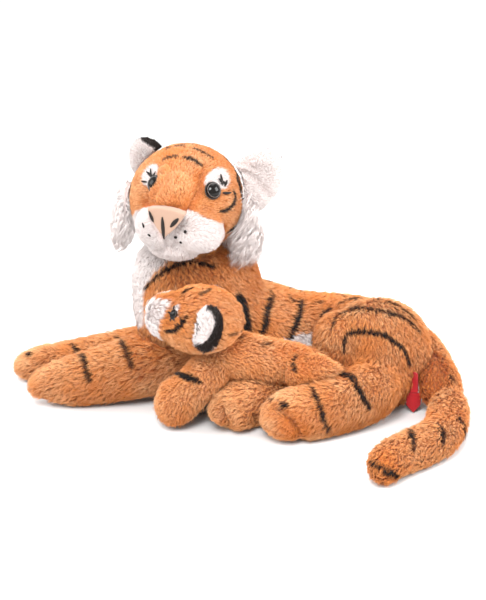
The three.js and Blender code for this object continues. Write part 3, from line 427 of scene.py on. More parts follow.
FORMS = {
    "mother_body": stuffed(["mother_trunk", "mother_chest"], "trunk", "mother", BODY_FLOW, 4.6),
    "mother_under_leg": stuffed(["mother_hindleg_right"], "trunk", "mother", one_way(-1, -0.45, -0.25), 3.4),
    "mother_near_foreleg": stuffed(
        ["mother_foreleg_left"], "foreleg_left", "mother", one_way(-1, -0.1, -0.4), 3.4,
        plug=(-0.088, -0.03, 0.042, 0.026),
        blend=("trunk", "foreleg_left", (-0.09, -0.03, 0.04), (-0.135, -0.035, 0.03)),
    ),
    "mother_far_foreleg": stuffed(
        ["mother_foreleg_right"], "foreleg_right", "mother", one_way(-1, 0.05, -0.4), 3.4,
        plug=(-0.088, 0.02, 0.038, 0.022),
        blend=("trunk", "foreleg_right", (-0.09, 0.02, 0.036), (-0.135, 0.02, 0.03)),
    ),
    "mother_near_hindleg": stuffed(["mother_hindleg_left"], "hindleg_left", "mother", HIND_FLOW, 3.6),
    "mother_tail": stuffed(
        ["mother_tail_root", "mother_tail_end"], "tail_end", "mother", TAIL_FLOW, 2.6,
        blend=("tail_root", "tail_end", (0.142, -0.055, 0.0175), (0.141, -0.095, 0.0175)),
    ),
    "mother_head": stuffed(
        ["mother_head", "mother_muzzle_left", "mother_muzzle_right", "mother_chin"],
        "head", "head", HEAD_FLOW, 1.8, voxel=2.0, smooth=5, pile=FACE_PILE,
        white_solids=["mother_muzzle_left", "mother_muzzle_right", "mother_chin"],
    ),
    # The shade values of the two ears are painted shade: their whites are darkened evenly to stand in for the
    # shade within their short pile
    "mother_near_ear": stuffed(
        ["mother_ear_left"], "ear_left", "", away_from(-0.045, -0.03, 0.2), 1.4, voxel=1.8, smooth=4,
        pile=EAR_PILE, facing=(-0.12, -0.95, 0.1), black_back=-0.45, grow=("mother_head", 0.26), shade=0.05,
    ),
    "mother_far_ear": stuffed(
        ["mother_ear_right"], "ear_right", "far_ear", away_from(-0.115, -0.03, 0.21), 1.4, voxel=1.8, smooth=4,
        pile=EAR_PILE, facing=(-0.5, -0.8, -0.45), black_back=0.0, shade=0.12,
    ),
    "mother_near_ruff": stuffed(
        ["mother_ruff_left"], "head", "", one_way(-0.85, -0.35, -1), 4.0, voxel=2.2, smooth=4,
        pile=RUFF_PILE, white=True,
    ),
    "mother_far_ruff": stuffed(
        ["mother_ruff_right"], "head", "", one_way(-0.5, -0.1, -0.9), 4.5, voxel=2.2, smooth=4,
        pile=dict(RUFF_PILE, length=15.0), white=True,
    ),
    "cub_body": stuffed(["cub_trunk"], "cub", "cub", one_way(1, -0.1, -0.4), 2.8, pile=CUB_PILE),
    "cub_near_foreleg": stuffed(
        ["cub_foreleg_left"], "cub_foreleg", "cub", one_way(-0.45, -0.1, -1), 2.8, pile=CUB_PILE,
        plug=(-0.062, -0.082, 0.06, 0.016),
        blend=("cub", "cub_foreleg", (-0.062, -0.082, 0.06), (-0.075, -0.085, 0.035)),
    ),
    "cub_far_foreleg": stuffed(["cub_foreleg_right"], "cub", "cub", one_way(-0.4, 0, -1), 2.6, pile=CUB_PILE),
    "cub_near_hindleg": stuffed(["cub_hindleg_left"], "cub", "cub", one_way(1, -0.2, -0.2), 2.6, pile=CUB_PILE),
    "cub_far_hindleg": stuffed(["cub_hindleg_right"], "cub", "cub", one_way(1, 0, -0.2), 2.6, pile=CUB_PILE),
    "cub_tail": stuffed(
        ["cub_tail"], "cub", "cub", one_way(1, 0, -0.3), 1.6, voxel=1.6, smooth=3,
        pile=dict(LONG_PILE, length=5.0),
    ),
    "cub_head": stuffed(
        ["cub_head", "cub_muzzle"], "cub_head", "cub_head", CUB_HEAD_FLOW, 1.8, voxel=1.8, smooth=5,
        pile=dict(FACE_PILE, length=5.6, clump=2.8, pull=0.45), white_solids=["cub_muzzle"],
    ),
    "cub_near_ear": stuffed(
        ["cub_ear_left"], "cub_ear", "cub_ear", away_from(-0.07, -0.12, 0.10), 1.0, voxel=1.5, smooth=3,
        pile=CUB_EAR_PILE, facing=(-0.75, -0.5, 0.45), black_back=-0.5,
    ),
    "cub_far_ear": stuffed(
        ["cub_ear_right"], "cub_head", "", away_from(-0.07, -0.06, 0.10), 1.0, voxel=1.5, smooth=3,
        pile=CUB_EAR_PILE, facing=(-0.5, 0.5, 0.5), black_back=0.1,
    ),
}
MARKS = {
    "mother": (MOTHER_STRIPES, MOTHER_PALE_AT),
    "head": (HEAD_STRIPES, []),
    "cub": (CUB_STRIPES, CUB_PALE_AT),
    "cub_head": (CUB_HEAD_STRIPES, []),
    "far_ear": (FAR_EAR_STRIPES, []),
    "cub_ear": (CUB_EAR_STRIPES, []),
}
# Where a group's stripes are repeated on its hidden side: the plane that mirrors them, and the least height
FAR_SIDES = {"mother": ("mother_body", 0.0, 0.045), "head": ("mother_head", -0.022, 0.222)}
# Where no pile grows, as outlines over the photograph
BARE = {
    "mother_head": [
        [(146, 206.5), (160, 206.5), (175, 209), (185, 212), (171, 228), (165.5, 238), (162.5, 238), (153, 223)],
    ],
}
SKINS = {}
LINES = {}


# Skins


def placed(name, data):
    """A new object in the scene."""
    made = bpy.data.objects.new(name, data)
    bpy.context.scene.collection.objects.link(made)
    return made


def mesh_of(name, bm):
    """A new mesh from a bmesh, which is freed."""
    mesh = bpy.data.meshes.new(name)
    bm.to_mesh(mesh)
    bm.free()
    return mesh


def joined_solids(solids, swell, plug=None):
    """One mesh of these CAD solids, each swelled so that close neighbours run together."""
    together = bmesh.new()
    for solid in solids:
        part = bmesh.new()
        part.from_mesh(NODES[solid].data)
        bmesh.ops.remove_doubles(part, verts=part.verts, dist=WELD)
        part.normal_update()
        for vert, way in [(v, v.normal.copy()) for v in part.verts]:
            vert.co += way * swell
        mesh = mesh_of("part", part)
        together.from_mesh(mesh)
        bpy.data.meshes.remove(mesh)
    if plug:
        at = Matrix.Translation(plug[:3])
        bmesh.ops.create_icosphere(together, subdivisions=3, radius=plug[3], matrix=at)
    return mesh_of("solids", together)


def evened(piece, voxel, rounds):
    """Remeshes an object in even cells and smooths it. Gives its new mesh."""
    remesh = piece.modifiers.new("even", "REMESH")
    remesh.mode = "VOXEL"
    remesh.voxel_size = voxel * MM
    soften = piece.modifiers.new("soften", "SMOOTH")
    soften.factor = 0.5
    soften.iterations = rounds
    done = bpy.data.meshes.new_from_object(piece.evaluated_get(bpy.context.evaluated_depsgraph_get()))
    piece.modifiers.clear()
    piece.data = done
    return done


def tree_of(piece):
    """A tree for casting rays at an object."""
    return BVHTree.FromObject(piece, bpy.context.evaluated_depsgraph_get())


def arrays_of(mesh):
    """A mesh's places and normals, as arrays."""
    co = np.empty(len(mesh.vertices) * 3, np.float32)
    normal = np.empty(len(mesh.vertices) * 3, np.float32)
    mesh.vertices.foreach_get("co", co)
    mesh.vertex_normals.foreach_get("vector", normal)
    return co.reshape(-1, 3), normal.reshape(-1, 3)


def move_points(mesh, co):
    """Puts a mesh's points at these places."""
    mesh.vertices.foreach_set("co", co.ravel())
    mesh.update()


def skin_of(name):
    """The smooth closed skin of a stuffed form, set in by its pile's height. It is made once."""
    if name in SKINS:
        return SKINS[name]
    form = FORMS[name]
    skin = placed(name + "_skin", joined_solids(form["solids"], SWELL * MM, form.get("plug")))
    done = evened(skin, form.get("voxel", 2.8), form.get("smooth", 9))
    co, normal = arrays_of(done)
    co = co - normal * (form["inset"] + SWELL) * MM
    if "grow" in form:
        carrier, share = form["grow"]
        centre = np.mean(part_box(carrier), axis=0)
        away = np.linalg.norm(co - centre, axis=1)[:, None]
        co = co + (co - centre) / away * share * (away - away.min())
    co[:, 2] = np.maximum(co[:, 2], LOWEST_SKIN)
    creases = creases_on(done, co, CREASES.get(form["marks"], []) + CREASES.get(name, []))
    for depth, half, line in creases:
        fall = np.clip(1 - (gap_to(co, line) / half) ** 2, 0, 1) ** 2
        co = co - normal * (depth * fall)[:, None]
    move_points(done, co)
    done.shade_smooth()
    SKINS[name] = dict(skin=skin, tree=tree_of(skin), form=form, creases=creases)
    return SKINS[name]


def gap_to(places, line):
    """How far places lie from a line of points."""
    gap = np.full(len(places), 1.0)
    for at in line:
        gap = np.minimum(gap, np.linalg.norm(places - at, axis=1))
    return gap


def creases_on(mesh, co, creases):
    """The creases that fall on a skin, each with its depth, half width and places."""
    if not creases:
        return []
    move_points(mesh, co)
    tree = BVHTree.FromPolygons([v.co for v in mesh.vertices], [p.vertices for p in mesh.polygons])
    found = []
    for depth, half, points in creases:
        hits = [tree.ray_cast(*photo_ray(*p))[0] for p in spread(points)]
        places = [np.array(h) for h in hits if h]
        if places:
            found.append((depth * MM, half * MM, places))
    return found


# Markings


def lines_of(group):
    """The stripes of a group of forms, laid on their skins, and its white places."""
    if group in LINES:
        return LINES[group]
    names = [n for n, form in FORMS.items() if form["marks"] == group]
    stripes, pale_at = MARKS[group]
    lines = []
    for wide, dark, points in stripes:
        hits = [hit_at(names, *p) for p in spread(points)]
        places = np.array([h[0] for h in hits if h], float).reshape(-1, 3)
        if len(places):
            lines.append((wide * MM, dark, places))
    if group in FAR_SIDES:
        lines += mirrored(lines, *FAR_SIDES[group])
    spots = [(np.array(p[:3]), p[3]) for p in pale_at]
    LINES[group] = (lines, spots)
    return LINES[group]


def mirrored(lines, name, plane, floor):
    """These stripes again, on the hidden side of a form."""
    tree = skin_of(name)["tree"]
    found = []
    for wide, dark, places in lines:
        if places[:, 2].min() < floor or abs(places[:, 0]).max() > MIRROR_REACH:
            continue
        over = places * (1, -1, 1) + (0, 2 * plane, 0)
        found.append((wide, dark, np.array([tree.find_nearest(Vector(p))[0] for p in over])))
    return found


def marked(name, places, normals, rng):
    """How dark and how pale each place of a form is, from 0 to 1."""
    form = FORMS[name]
    dark, pale = np.zeros(len(places)), np.zeros(len(places))
    if form["marks"]:
        lines, spots = lines_of(form["marks"])
        blur = rng.normal(0, BLUR, len(places))
        for wide, strength, line in lines:
            low, high = line.min(0) - 2 * wide, line.max(0) + 2 * wide
            near = np.flatnonzero(((places > low) & (places < high)).all(1))
            if not len(near):
                continue
            gap = np.linalg.norm(places[near, None] - line[None], axis=2)
            which = gap.argmin(1)
            along = which / max(1, len(line) - 1)
            half = STRIPE_SPREAD * wide / 2 * (0.5 + 0.5 * np.sin(np.pi * np.clip(along, 0.04, 0.96)) ** 0.5)
            away = gap[np.arange(len(near)), which] + blur[near]
            ink = strength * np.clip((half - away) / STRIPE_EDGE + 0.5, 0, 1)
            dark[near] = np.maximum(dark[near], ink)
        for at, radius in spots:
            away = np.linalg.norm(places - at, axis=1) + blur
            pale = np.maximum(pale, np.clip((radius - away) / SPOT_EDGE + 0.5, 0, 1))
        to_camera = unit(np.array(CAMERA_AT) - places)
        front = (normals * to_camera).sum(1) > -0.15
        seen = seen_at(places[front]) + rng.normal(0, BLUR_PX, (front.sum(), 2))
        for outline in AREAS.get(name, []):
            pale[front] = np.maximum(pale[front], np.clip(within(seen, outline) / AREA_EDGE_PX + 0.5, 0, 1))
    if form.get("white"):
        pale[:] = 1
    if form.get("white_solids"):
        hidden = (normals * unit(np.array(CAMERA_AT) - places)).sum(1) < 0.05
        pale = np.where(hidden, np.maximum(pale, near_solids(places, form["solids"], form["white_solids"])), pale)
    if form.get("facing"):
        pale[:] = 1
        facing = np.array(form["facing"]) / np.linalg.norm(form["facing"])
        turned = normals @ facing + rng.normal(0, 0.06, len(places))
        dark = np.maximum(dark, np.clip((form["black_back"] - turned) / 0.1 + 0.5, 0, 1))
    # A form's shade value darkens all its pile evenly as painted shade
    return np.maximum(dark, form.get("shade", 0)), pale


def near_solids(places, solids, chosen):
    """1 where the nearest of these solids is one of the chosen."""
    trees = [tree_of(NODES[solid]) for solid in solids]
    best = np.array([[tree.find_nearest(Vector(p))[3] for p in places] for tree in trees]).argmin(0)
    return np.array([solids[i] in chosen for i in best], float)


# Pile


def roots_on(mesh, count, rng):
    """Places spread evenly over a mesh, with its smooth normals there."""
    co, normal = arrays_of(mesh)
    mesh.calc_loop_triangles()
    tris = np.empty(len(mesh.loop_triangles) * 3, np.int32)
    mesh.loop_triangles.foreach_get("vertices", tris)
    tris = tris.reshape(-1, 3)
    a, b, c = co[tris[:, 0]], co[tris[:, 1]], co[tris[:, 2]]
    total = np.cumsum(np.linalg.norm(np.cross(b - a, c - a), axis=1))
    at = np.searchsorted(total, (np.arange(count) + rng.random(count)) / count * total[-1])
    at = np.minimum(at, len(tris) - 1)
    u, v = rng.random(count), rng.random(count)
    flip = u + v > 1
    u[flip], v[flip] = 1 - u[flip], 1 - v[flip]
    share = np.stack([1 - u - v, u, v], 1)[:, :, None]
    places = (co[tris[at]] * share).sum(1)
    normals = (normal[tris[at]] * share).sum(1)
    return places, unit(normals)


def unit(v):
    """Rows of an array, each made one long."""
    return v / np.maximum(np.linalg.norm(v, axis=1, keepdims=True), 1e-9)


def area_of(mesh):
    return sum(p.area for p in mesh.polygons)


def combed(places, normals, flow):
    """The way the pile lies: a blend of the near comb strokes, kept along the surface."""
    lay = np.zeros_like(places)
    for at, way in flow:
        away = places - np.array(at)
        weight = 1 / (np.linalg.norm(away, axis=1) ** 2 + COMB_REACH**2)
        step = unit(away) if isinstance(way, str) else np.broadcast_to(unit(np.array([way], float)), places.shape)
        lay += step * weight[:, None]
    lay -= normals * (lay * normals).sum(1, keepdims=True)
    return unit(lay)


def clumps_of(places, spacing, area, rng):
    """For each place, the number of the nearest clump's middle."""
    count = max(4, int(area / (spacing * MM) ** 2))
    middles = rng.choice(len(places), size=min(count, len(places)), replace=False)
    tree = KDTree(len(middles))
    for i, m in enumerate(middles):
        tree.insert(places[m], i)
    tree.balance()
    return middles, np.array([tree.find(p)[1] for p in places])


def turned(lay, normals, angle):
    """The lay directions turned about the normals."""
    side = np.cross(normals, lay)
    return lay * np.cos(angle)[:, None] + side * np.sin(angle)[:, None]


def curves_of(name, rng):
    """The root, middle and tip of every strand of a form, with its markings and thickness."""
    made = skin_of(name)
    form, mesh = made["form"], made["skin"].data
    cut = form.get("pile", LONG_PILE)
    area = area_of(mesh)
    places, normals = roots_on(mesh, int(area / MM**2 * cut["density"]), rng)
    keep = places[:, 2] > LOWEST_ROOT
    for outline in BARE.get(name, []):
        keep &= (within(seen_at(places), outline) < -0.5) | (places[:, 1] > places[:, 1].mean())
    places, normals = places[keep], normals[keep]
    n = len(places)
    middles, clump = clumps_of(places, cut["clump"], area, rng)
    twist = rng.normal(0, cut["twist"], len(middles))[clump] + rng.normal(0, STRAY, n)
    lay = turned(combed(places, normals, form["flow"]), normals, twist)
    tone = rng.normal(0, CLUMP_TONES, len(middles))[clump] + rng.normal(0, STRAND_TONES, n)
    length = cut["length"] * MM * np.clip(rng.normal(1, LENGTHS, n), SHORTEST, LONGEST)
    length *= rng.uniform(0.85, 1.15, len(middles))[clump]
    # In a narrow crease the pile is cut shorter, and its tone is lowered towards deep orange as painted shade
    for depth, half, line in made["creases"]:
        if depth > 0 and half < WIDEST_CREASE:
            gap = gap_to(places, line)
            near = np.clip(1 - gap / (half + depth), 0, 1)
            length *= 1 - CREASE_CUT * near
            tone -= CREASE_SHADE_TONE * near
    # Patches of painted shade and painted light deepen or lighten each strand's tone
    for amount, outline in PAINTED_LIGHT_AND_NAP.get(name, []):
        tone -= amount * np.clip(within(seen_at(places), outline) / PAINTED_LIGHT_EDGE_PX + 0.5, 0, 1)
    lift = cut["root_lift"] + rng.normal(0, STRAY, n)
    droop = cut["tip_lift"] + rng.normal(0, STRAY, n)
    first = normals * np.sin(lift)[:, None] + lay * np.cos(lift)[:, None]
    last = normals * np.sin(droop)[:, None] + lay * np.cos(droop)[:, None]
    middle = places + first * length[:, None] * 0.5
    tip = middle + last * length[:, None] * 0.5
    goal, goal_middle = tip[middles][clump], middle[middles][clump]
    tip += (goal - tip) * cut["pull"]
    middle += (goal_middle - middle) * cut["pull"] * MIDDLE_PULL
    for line in (middle, tip):
        line[:, 2] = np.maximum(line[:, 2], LOWEST_STRAND)
    seen = (middle + tip) / 2
    seen = seen - normals * ((seen - places) * normals).sum(1, keepdims=True)
    dark, pale = marked(name, seen, normals, rng)
    # Deep narrow creases also get a near-black line of painted shade along them, on the orange pile only
    for depth, half, line in made["creases"]:
        if SHADE_LINE_DEPTH < depth and half < WIDEST_CREASE:
            core = np.clip(1.6 - gap_to(seen, line) / SHADE_LINE_WIDTH, 0, 1)
            dark = np.maximum(dark, min(0.8, 0.1 * depth / MM) * core * (pale < 0.5))
    return dict(
        root=places - first * ROOT_DEPTH, middle=middle, tip=tip, normal=normals, dark=dark, pale=pale,
        tone=tone, width=np.full(n, cut["width"] * MM),
    )


def bake_places(root, normal, low, high):
    """Where each root falls in the flat layout: one of six charts by the way it faces."""
    axis = np.abs(normal).argmax(1)
    back = normal[np.arange(len(root)), axis] < 0
    span = max(high - low)
    share = (root - low) / span
    other = np.array([[1, 2], [0, 2], [0, 1]])[axis]
    u = share[np.arange(len(root)), other[:, 0]]
    v = share[np.arange(len(root)), other[:, 1]]
    return np.stack([(axis + 0.02 + 0.96 * u) / 3, (back + 0.02 + 0.96 * v) / 2], 1)


def strand_mesh(name, curve, low, high):
    """A mesh of closed tapering strands, each three-sided and bent once."""
    root, middle, tip = curve["root"], curve["middle"], curve["tip"]
    n = len(root)
    first, second = unit(middle - root), unit(tip - middle)
    side = unit(np.cross(curve["normal"], first) + 1e-6)
    turns = [2 * math.pi * k / 3 for k in range(3)]
    verts = np.empty((n, CORNERS, 3))
    for ring, (at, way, share) in enumerate([(root, first, 0.5), (middle, second, 0.4)]):
        over = unit(np.cross(way, side))
        for k, angle in enumerate(turns):
            out = side * math.cos(angle) + over * math.sin(angle)
            verts[:, ring * 3 + k] = at + out * curve["width"][:, None] * share
    verts[:, 6] = tip
    faces = [(0, 2, 1)]
    for k in range(3):
        j = (k + 1) % 3
        faces += [(k, j, 3 + j), (k, 3 + j, 3 + k), (3 + k, 3 + j, 6)]
    faces = np.array(faces)
    index = (faces[None] + CORNERS * np.arange(n)[:, None, None]).reshape(-1)
    mesh = bpy.data.meshes.new(name)
    mesh.vertices.add(n * CORNERS)
    mesh.vertices.foreach_set("co", verts.astype(np.float32).ravel())
    mesh.loops.add(len(index))
    mesh.loops.foreach_set("vertex_index", index.astype(np.int32))
    mesh.polygons.add(len(index) // 3)
    mesh.polygons.foreach_set("loop_start", np.arange(0, len(index), 3, dtype=np.int32))
    mesh.update(calc_edges=True)
    mesh.shade_smooth()
    put(mesh, "pile_along", np.broadcast_to(np.array([0, 0, 0, 0.5, 0.5, 0.5, 1.0]), (n, CORNERS)))
    for key in ("dark", "pale", "tone"):
        put(mesh, "pile_" + key, np.repeat(curve[key], CORNERS))
    flat = bake_places(root, curve["normal"], low, high)
    ring = np.array([(math.cos(angle), math.sin(angle)) for angle in turns])
    spot = np.vstack([ring, -ring * 0.5, [[0, 0]]]) * STRAND_SPOT
    layer = mesh.uv_layers.new(name="OFBake")
    layer.data.foreach_set("uv", (flat[:, None] + spot[None]).reshape(-1, 2)[index].astype(np.float32).ravel())
    return mesh


def put(mesh, name, values):
    """Writes a number to each point of a mesh under a name that the materials read."""
    layer = mesh.attributes.new(name, "FLOAT", "POINT")
    layer.data.foreach_set("value", np.asarray(values, np.float32).ravel())


def dress(name, seed, coat, undercoat):
    """Skins a stuffed form and plants its pile."""
    rng = np.random.default_rng(seed)
    made = skin_of(name)
    form, skin = made["form"], made["skin"]
    curve = curves_of(name, rng)
    co, normal = arrays_of(skin.data)
    dark, pale = marked(name, co, normal, rng)
    for key, values in (("along", 0 * dark), ("dark", dark), ("pale", pale), ("tone", 0 * dark)):
        put(skin.data, "pile_" + key, values)
    skin.data.materials.clear()
    skin.data.materials.append(undercoat)
    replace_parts(skin, *form["solids"])
    low, high = co.min(0), co.max(0)
    pieces = [skin]
    order = rng.permutation(len(curve["root"]))
    parts = math.ceil(len(order) / STRANDS_A_PIECE)
    for i in range(parts):
        pick = order[i::parts]
        mesh = strand_mesh(f"{name}_pile_{i + 1}", {k: v[pick] for k, v in curve.items()}, low, high)
        mesh.materials.append(coat)
        pieces.append(placed(mesh.name, mesh))
    for piece in pieces:
        if form.get("blend"):
            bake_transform(piece)
        else:
            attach(piece, form["body"])
    return pieces


# Materials


def new_material(name, roughness, specular=0.5, sheen=0.0):
    """A new material with its plain values set, its node tree and its shader."""
    material = bpy.data.materials.new(name)
    material.use_nodes = True
    shader = material.node_tree.nodes["Principled BSDF"]
    shader.inputs["Roughness"].default_value = roughness
    shader.inputs["Specular IOR Level"].default_value = specular
    shader.inputs["Sheen Weight"].default_value = sheen
    return material, material.node_tree, shader


def mixed(tree, share, a, b, blend="MIX"):
    """A colour mix node. Each of share, a and b is a socket or a plain value."""
    node = tree.nodes.new("ShaderNodeMix")
    node.data_type = "RGBA"
    node.blend_type = blend
    for socket, value in ((node.inputs[0], share), (node.inputs[6], a), (node.inputs[7], b)):
        if isinstance(value, bpy.types.NodeSocket):
            tree.links.new(value, socket)
        elif isinstance(value, (int, float)):
            socket.default_value = value
        else:
            socket.default_value = (*value, 1)
    return node.outputs[2]


def read(tree, name):
    """A number that the mesh carries under this name."""
    node = tree.nodes.new("ShaderNodeAttribute")
    node.attribute_name = name
    return node.outputs["Fac"]


def ranged(tree, value, *ends):
    """A value spread from low..high to 0..1, or to the two further ends."""
    node = tree.nodes.new("ShaderNodeMapRange")
    tree.links.new(value, node.inputs[0])
    for i, end in enumerate(ends):
        node.inputs[i + 1].default_value = end
    return node.outputs[0]


def noise(tree, scale, detail=2.0):
    """The value of a noise that is fixed to the object."""
    coord = tree.nodes.new("ShaderNodeTexCoord")
    made = tree.nodes.new("ShaderNodeTexNoise")
    made.inputs["Scale"].default_value = scale
    made.inputs["Detail"].default_value = detail
    tree.links.new(coord.outputs["Object"], made.inputs["Vector"])
    return made.outputs["Fac"]


def bumped(tree, shader, height, strength, distance):
    """Roughens a shader by a height."""
    bump = tree.nodes.new("ShaderNodeBump")
    bump.inputs["Strength"].default_value = strength
    bump.inputs["Distance"].default_value = distance
    tree.links.new(height, bump.inputs["Height"])
    tree.links.new(bump.outputs["Normal"], shader.inputs["Normal"])


def pile_material(name, look, deep):
    """Dyed plush pile: orange, white and near-black by the pile's markings, deeper at its roots. Its tone also
    carries painted shade and painted light, and its dark value carries painted shade in creases and on the ears.
    """
    material, tree, shader = new_material(name, 0.78, 0.12, 0.08)
    along, tone = read(tree, "pile_along"), read(tree, "pile_tone")
    orange = mixed(tree, along, look.orange_root, look.orange_tip)
    # The tone is partly random clump colour and partly painted shade and light: high tones go towards light
    # orange, low ones towards deep orange
    orange = mixed(tree, ranged(tree, tone, -1.4, 2.6), orange, look.orange_light)
    orange = mixed(tree, ranged(tree, noise(tree, 26), 0.35, 0.75), orange, look.orange_warm)
    orange = mixed(tree, ranged(tree, tone, -1.4, -4.2), orange, look.orange_deep_and_shade)
    white = mixed(tree, along, look.white_root, look.white_tip)
    coat = mixed(tree, read(tree, "pile_pale"), orange, white)
    coat = mixed(tree, read(tree, "pile_dark"), coat, look.stripe)
    if deep:
        coat = mixed(tree, 0.35, coat, look.orange_root, "MULTIPLY")
    tree.links.new(coat, shader.inputs["Base Color"])
    shader.inputs["Sheen Roughness"].default_value = 0.5
    if deep:
        bumped(tree, shader, noise(tree, 900), 0.6, 0.6 * MM)
    return material


def coats(look):
    """The pile's materials, made once."""
    if "pile" not in bpy.data.materials:
        pile_material("pile", look, False)
        pile_material("undercoat", look, True)
    return bpy.data.materials["pile"], bpy.data.materials["undercoat"]


def cloth_material(name, colour, other, scale, rough, sheen=0.2):
    """Flat woven cloth or thread with a fine weave and slight unevenness of its dye."""
    material, tree, shader = new_material(name, rough, 0.25, sheen)
    base = mixed(tree, noise(tree, scale / 12, 3), colour, other)
    tree.links.new(base, shader.inputs["Base Color"])
    bumped(tree, shader, noise(tree, scale, 1), 0.5, 0.15 * MM)
    return material


def dyed_cloth(name, colour, share, scale, rough):
    """Cloth of one dye, uneven down to this share of it."""
    return cloth_material(name, colour, tuple(c * share for c in colour), scale, rough)


def black_thread(name):
    return cloth_material(name, (0.006, 0.004, 0.003), (0.014, 0.009, 0.007), 3000, 0.7, 0.02)


def eye_material(name, look):
    """Black moulded plastic, polished, with faint handling marks in its gloss."""
    material, tree, shader = new_material(name, 0.05, 0.25)
    base = mixed(tree, ranged(tree, noise(tree, 300), 0.5, 0.8), look.eye, (0.006, 0.004, 0.003))
    tree.links.new(base, shader.inputs["Base Color"])
    tree.links.new(ranged(tree, noise(tree, 500), 0, 1, 0.03, 0.08), shader.inputs["Roughness"])
    return material


# Small shapes


def keep_mesh(name, bm, material, body):
    """Turns a bmesh into a piece that rides on a body."""
    bmesh.ops.recalc_face_normals(bm, faces=bm.faces)
    piece = placed(name, mesh_of(name, bm))
    piece.data.shade_smooth()
    piece.data.materials.append(material)
    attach(piece, body)
    return piece


def bridge(bm, rings, loop=False):
    """Joins rings of corners with faces: the last to the first in a loop, or else with a cap at each end."""
    for low, high in zip(rings, rings[1:] + rings[:1] if loop else rings[1:]):
        for k in range(len(low)):
            j = (k + 1) % len(low)
            bm.faces.new((low[k], low[j], high[j], high[k]))
    if not loop:
        bm.faces.new(rings[0][::-1])
        bm.faces.new(rings[-1])


def facing_matrix(at, out):
    """A frame at a place whose Z points out."""
    turn = Vector(out).to_track_quat("Z", "Y").to_matrix().to_4x4()
    return Matrix.Translation(at) @ turn


def turned_points(bm, profile, matrix, squeeze):
    """A profile of radius and height at each step round the frame's Z, as rows of corners."""
    rows = []
    for i in range(ROUND):
        angle = 2 * math.pi * i / ROUND
        across, along = math.cos(angle) * squeeze, math.sin(angle)
        rows.append([bm.verts.new(matrix @ Vector((r * across, r * along, height))) for r, height in profile])
    return rows


def lathed(bm, profile, matrix, squeeze):
    """Revolves an open profile about the frame's Z, with a cap at each end."""
    bridge(bm, [list(ring) for ring in zip(*turned_points(bm, profile, matrix, squeeze))])


def lathed_ring(bm, section, matrix, squeeze):
    """Revolves a closed section about the frame's Z."""
    bridge(bm, turned_points(bm, section, matrix, squeeze), loop=True)


def stroke_piece(name, strokes, names, material, body, lift):
    """Sewn strokes: tapered flat threads laid on these forms along lines seen in the photograph."""
    bm = bmesh.new()
    for wide, points in strokes:
        hits = [hit_at(names, *p) for p in spread(points, 0.8)]
        hits = [h for h in hits if h]
        if len(hits) < 2:
            continue
        rings = []
        for i, (place, normal, _) in enumerate(hits):
            t = i / (len(hits) - 1)
            half = wide * MM / 2 * max(0.25, math.sin(math.pi * min(0.93, max(0.07, t))) ** 0.6)
            before, after = hits[max(0, i - 1)][0], hits[min(len(hits) - 1, i + 1)][0]
            way = (after - before).normalized()
            side = normal.cross(way).normalized()
            up = way.cross(side)
            if up.dot(normal) < 0:
                up.negate()
            middle = place + normal * lift * MM
            ring = []
            for k in range(THREAD_SIDES):
                angle = 2 * math.pi * k / THREAD_SIDES
                out = side * half * math.cos(angle) + up * half * 0.5 * math.sin(angle)
                ring.append(bm.verts.new(middle + out))
            rings.append(ring)
        bridge(bm, rings)
    return keep_mesh(name, bm, material, body)


def eye_axis(node, head):
    """A safety eye's tip and the way it faces, from the ends of its dome and its post."""
    co, _ = arrays_of(NODES[node].data)
    middle = arrays_of(NODES[head].data)[0].mean(0)
    tip = co[np.linalg.norm(co - middle, axis=1).argmax()]
    for _ in range(2):
        far = np.linalg.norm(co - tip, axis=1)
        root = co[far > far.max() - 0.4 * MM].mean(0)
        tip = co[np.linalg.norm(co - root, axis=1).argmax()]
    return Vector(tip), Vector(tip - root).normalized()


def eye_pieces(node, head, body, look, wide, dome, squeeze=1.0, nudge=(0, 0, 0)):
    """A safety eye: a polished dome with a black moulded rim and, where it is round, a thin pale line."""
    tip, out = eye_axis(node, head)
    matrix = facing_matrix(tip - out * dome + Vector(nudge), out)
    r = wide / 2
    ball = bmesh.new()
    steps = [(r * math.cos(a), dome * math.sin(a)) for a in np.linspace(0, math.pi / 2 * 0.985, 14)]
    lathed(ball, [(r * 0.9, -dome * 0.8)] + steps, matrix, squeeze)
    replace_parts(keep_mesh(node, ball, eye_material(node + "_plastic", look), body), node)
    rim = [(r * 0.98, -0.2 * MM), (r * 1.1, -0.2 * MM), (r * 1.09, 0.5 * MM), (r, 0.8 * MM), (r * 0.93, 0.6 * MM)]
    edges = [("_rim", rim, (look.rim, look.eye, 2600, 0.5))]
    if squeeze == 1:
        at, up = r * 0.86, dome * math.sqrt(1 - 0.86**2)
        low, high = at - 0.16 * MM, at + 0.16 * MM
        line = [(low, up - 0.3 * MM), (high, up - 0.4 * MM), (high, up), (at, up + 0.14 * MM)]
        edges.append(("_line", line, (look.line, look.rim, 2600, 0.4)))
    for end, section, plastic in edges:
        edge = bmesh.new()
        lathed_ring(edge, section, matrix, squeeze)
        keep_mesh(node + end, edge, cloth_material(node + end + "_edge", *plastic), body)


def soft_copy(name, node, voxel, rounds, material, body):
    """A smoothed copy of a CAD solid that stands for it."""
    piece = placed(name, joined_solids([node], 0.2 * MM))
    done = evened(piece, voxel, rounds)
    done.shade_smooth()
    done.materials.clear()
    done.materials.append(material)
    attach(piece, body)
    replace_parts(piece, node)
    return piece


# Settings


def colour(name, description, default):
    return FloatVectorProperty(name=name, description=description, subtype="COLOR", default=default, min=0, max=1)


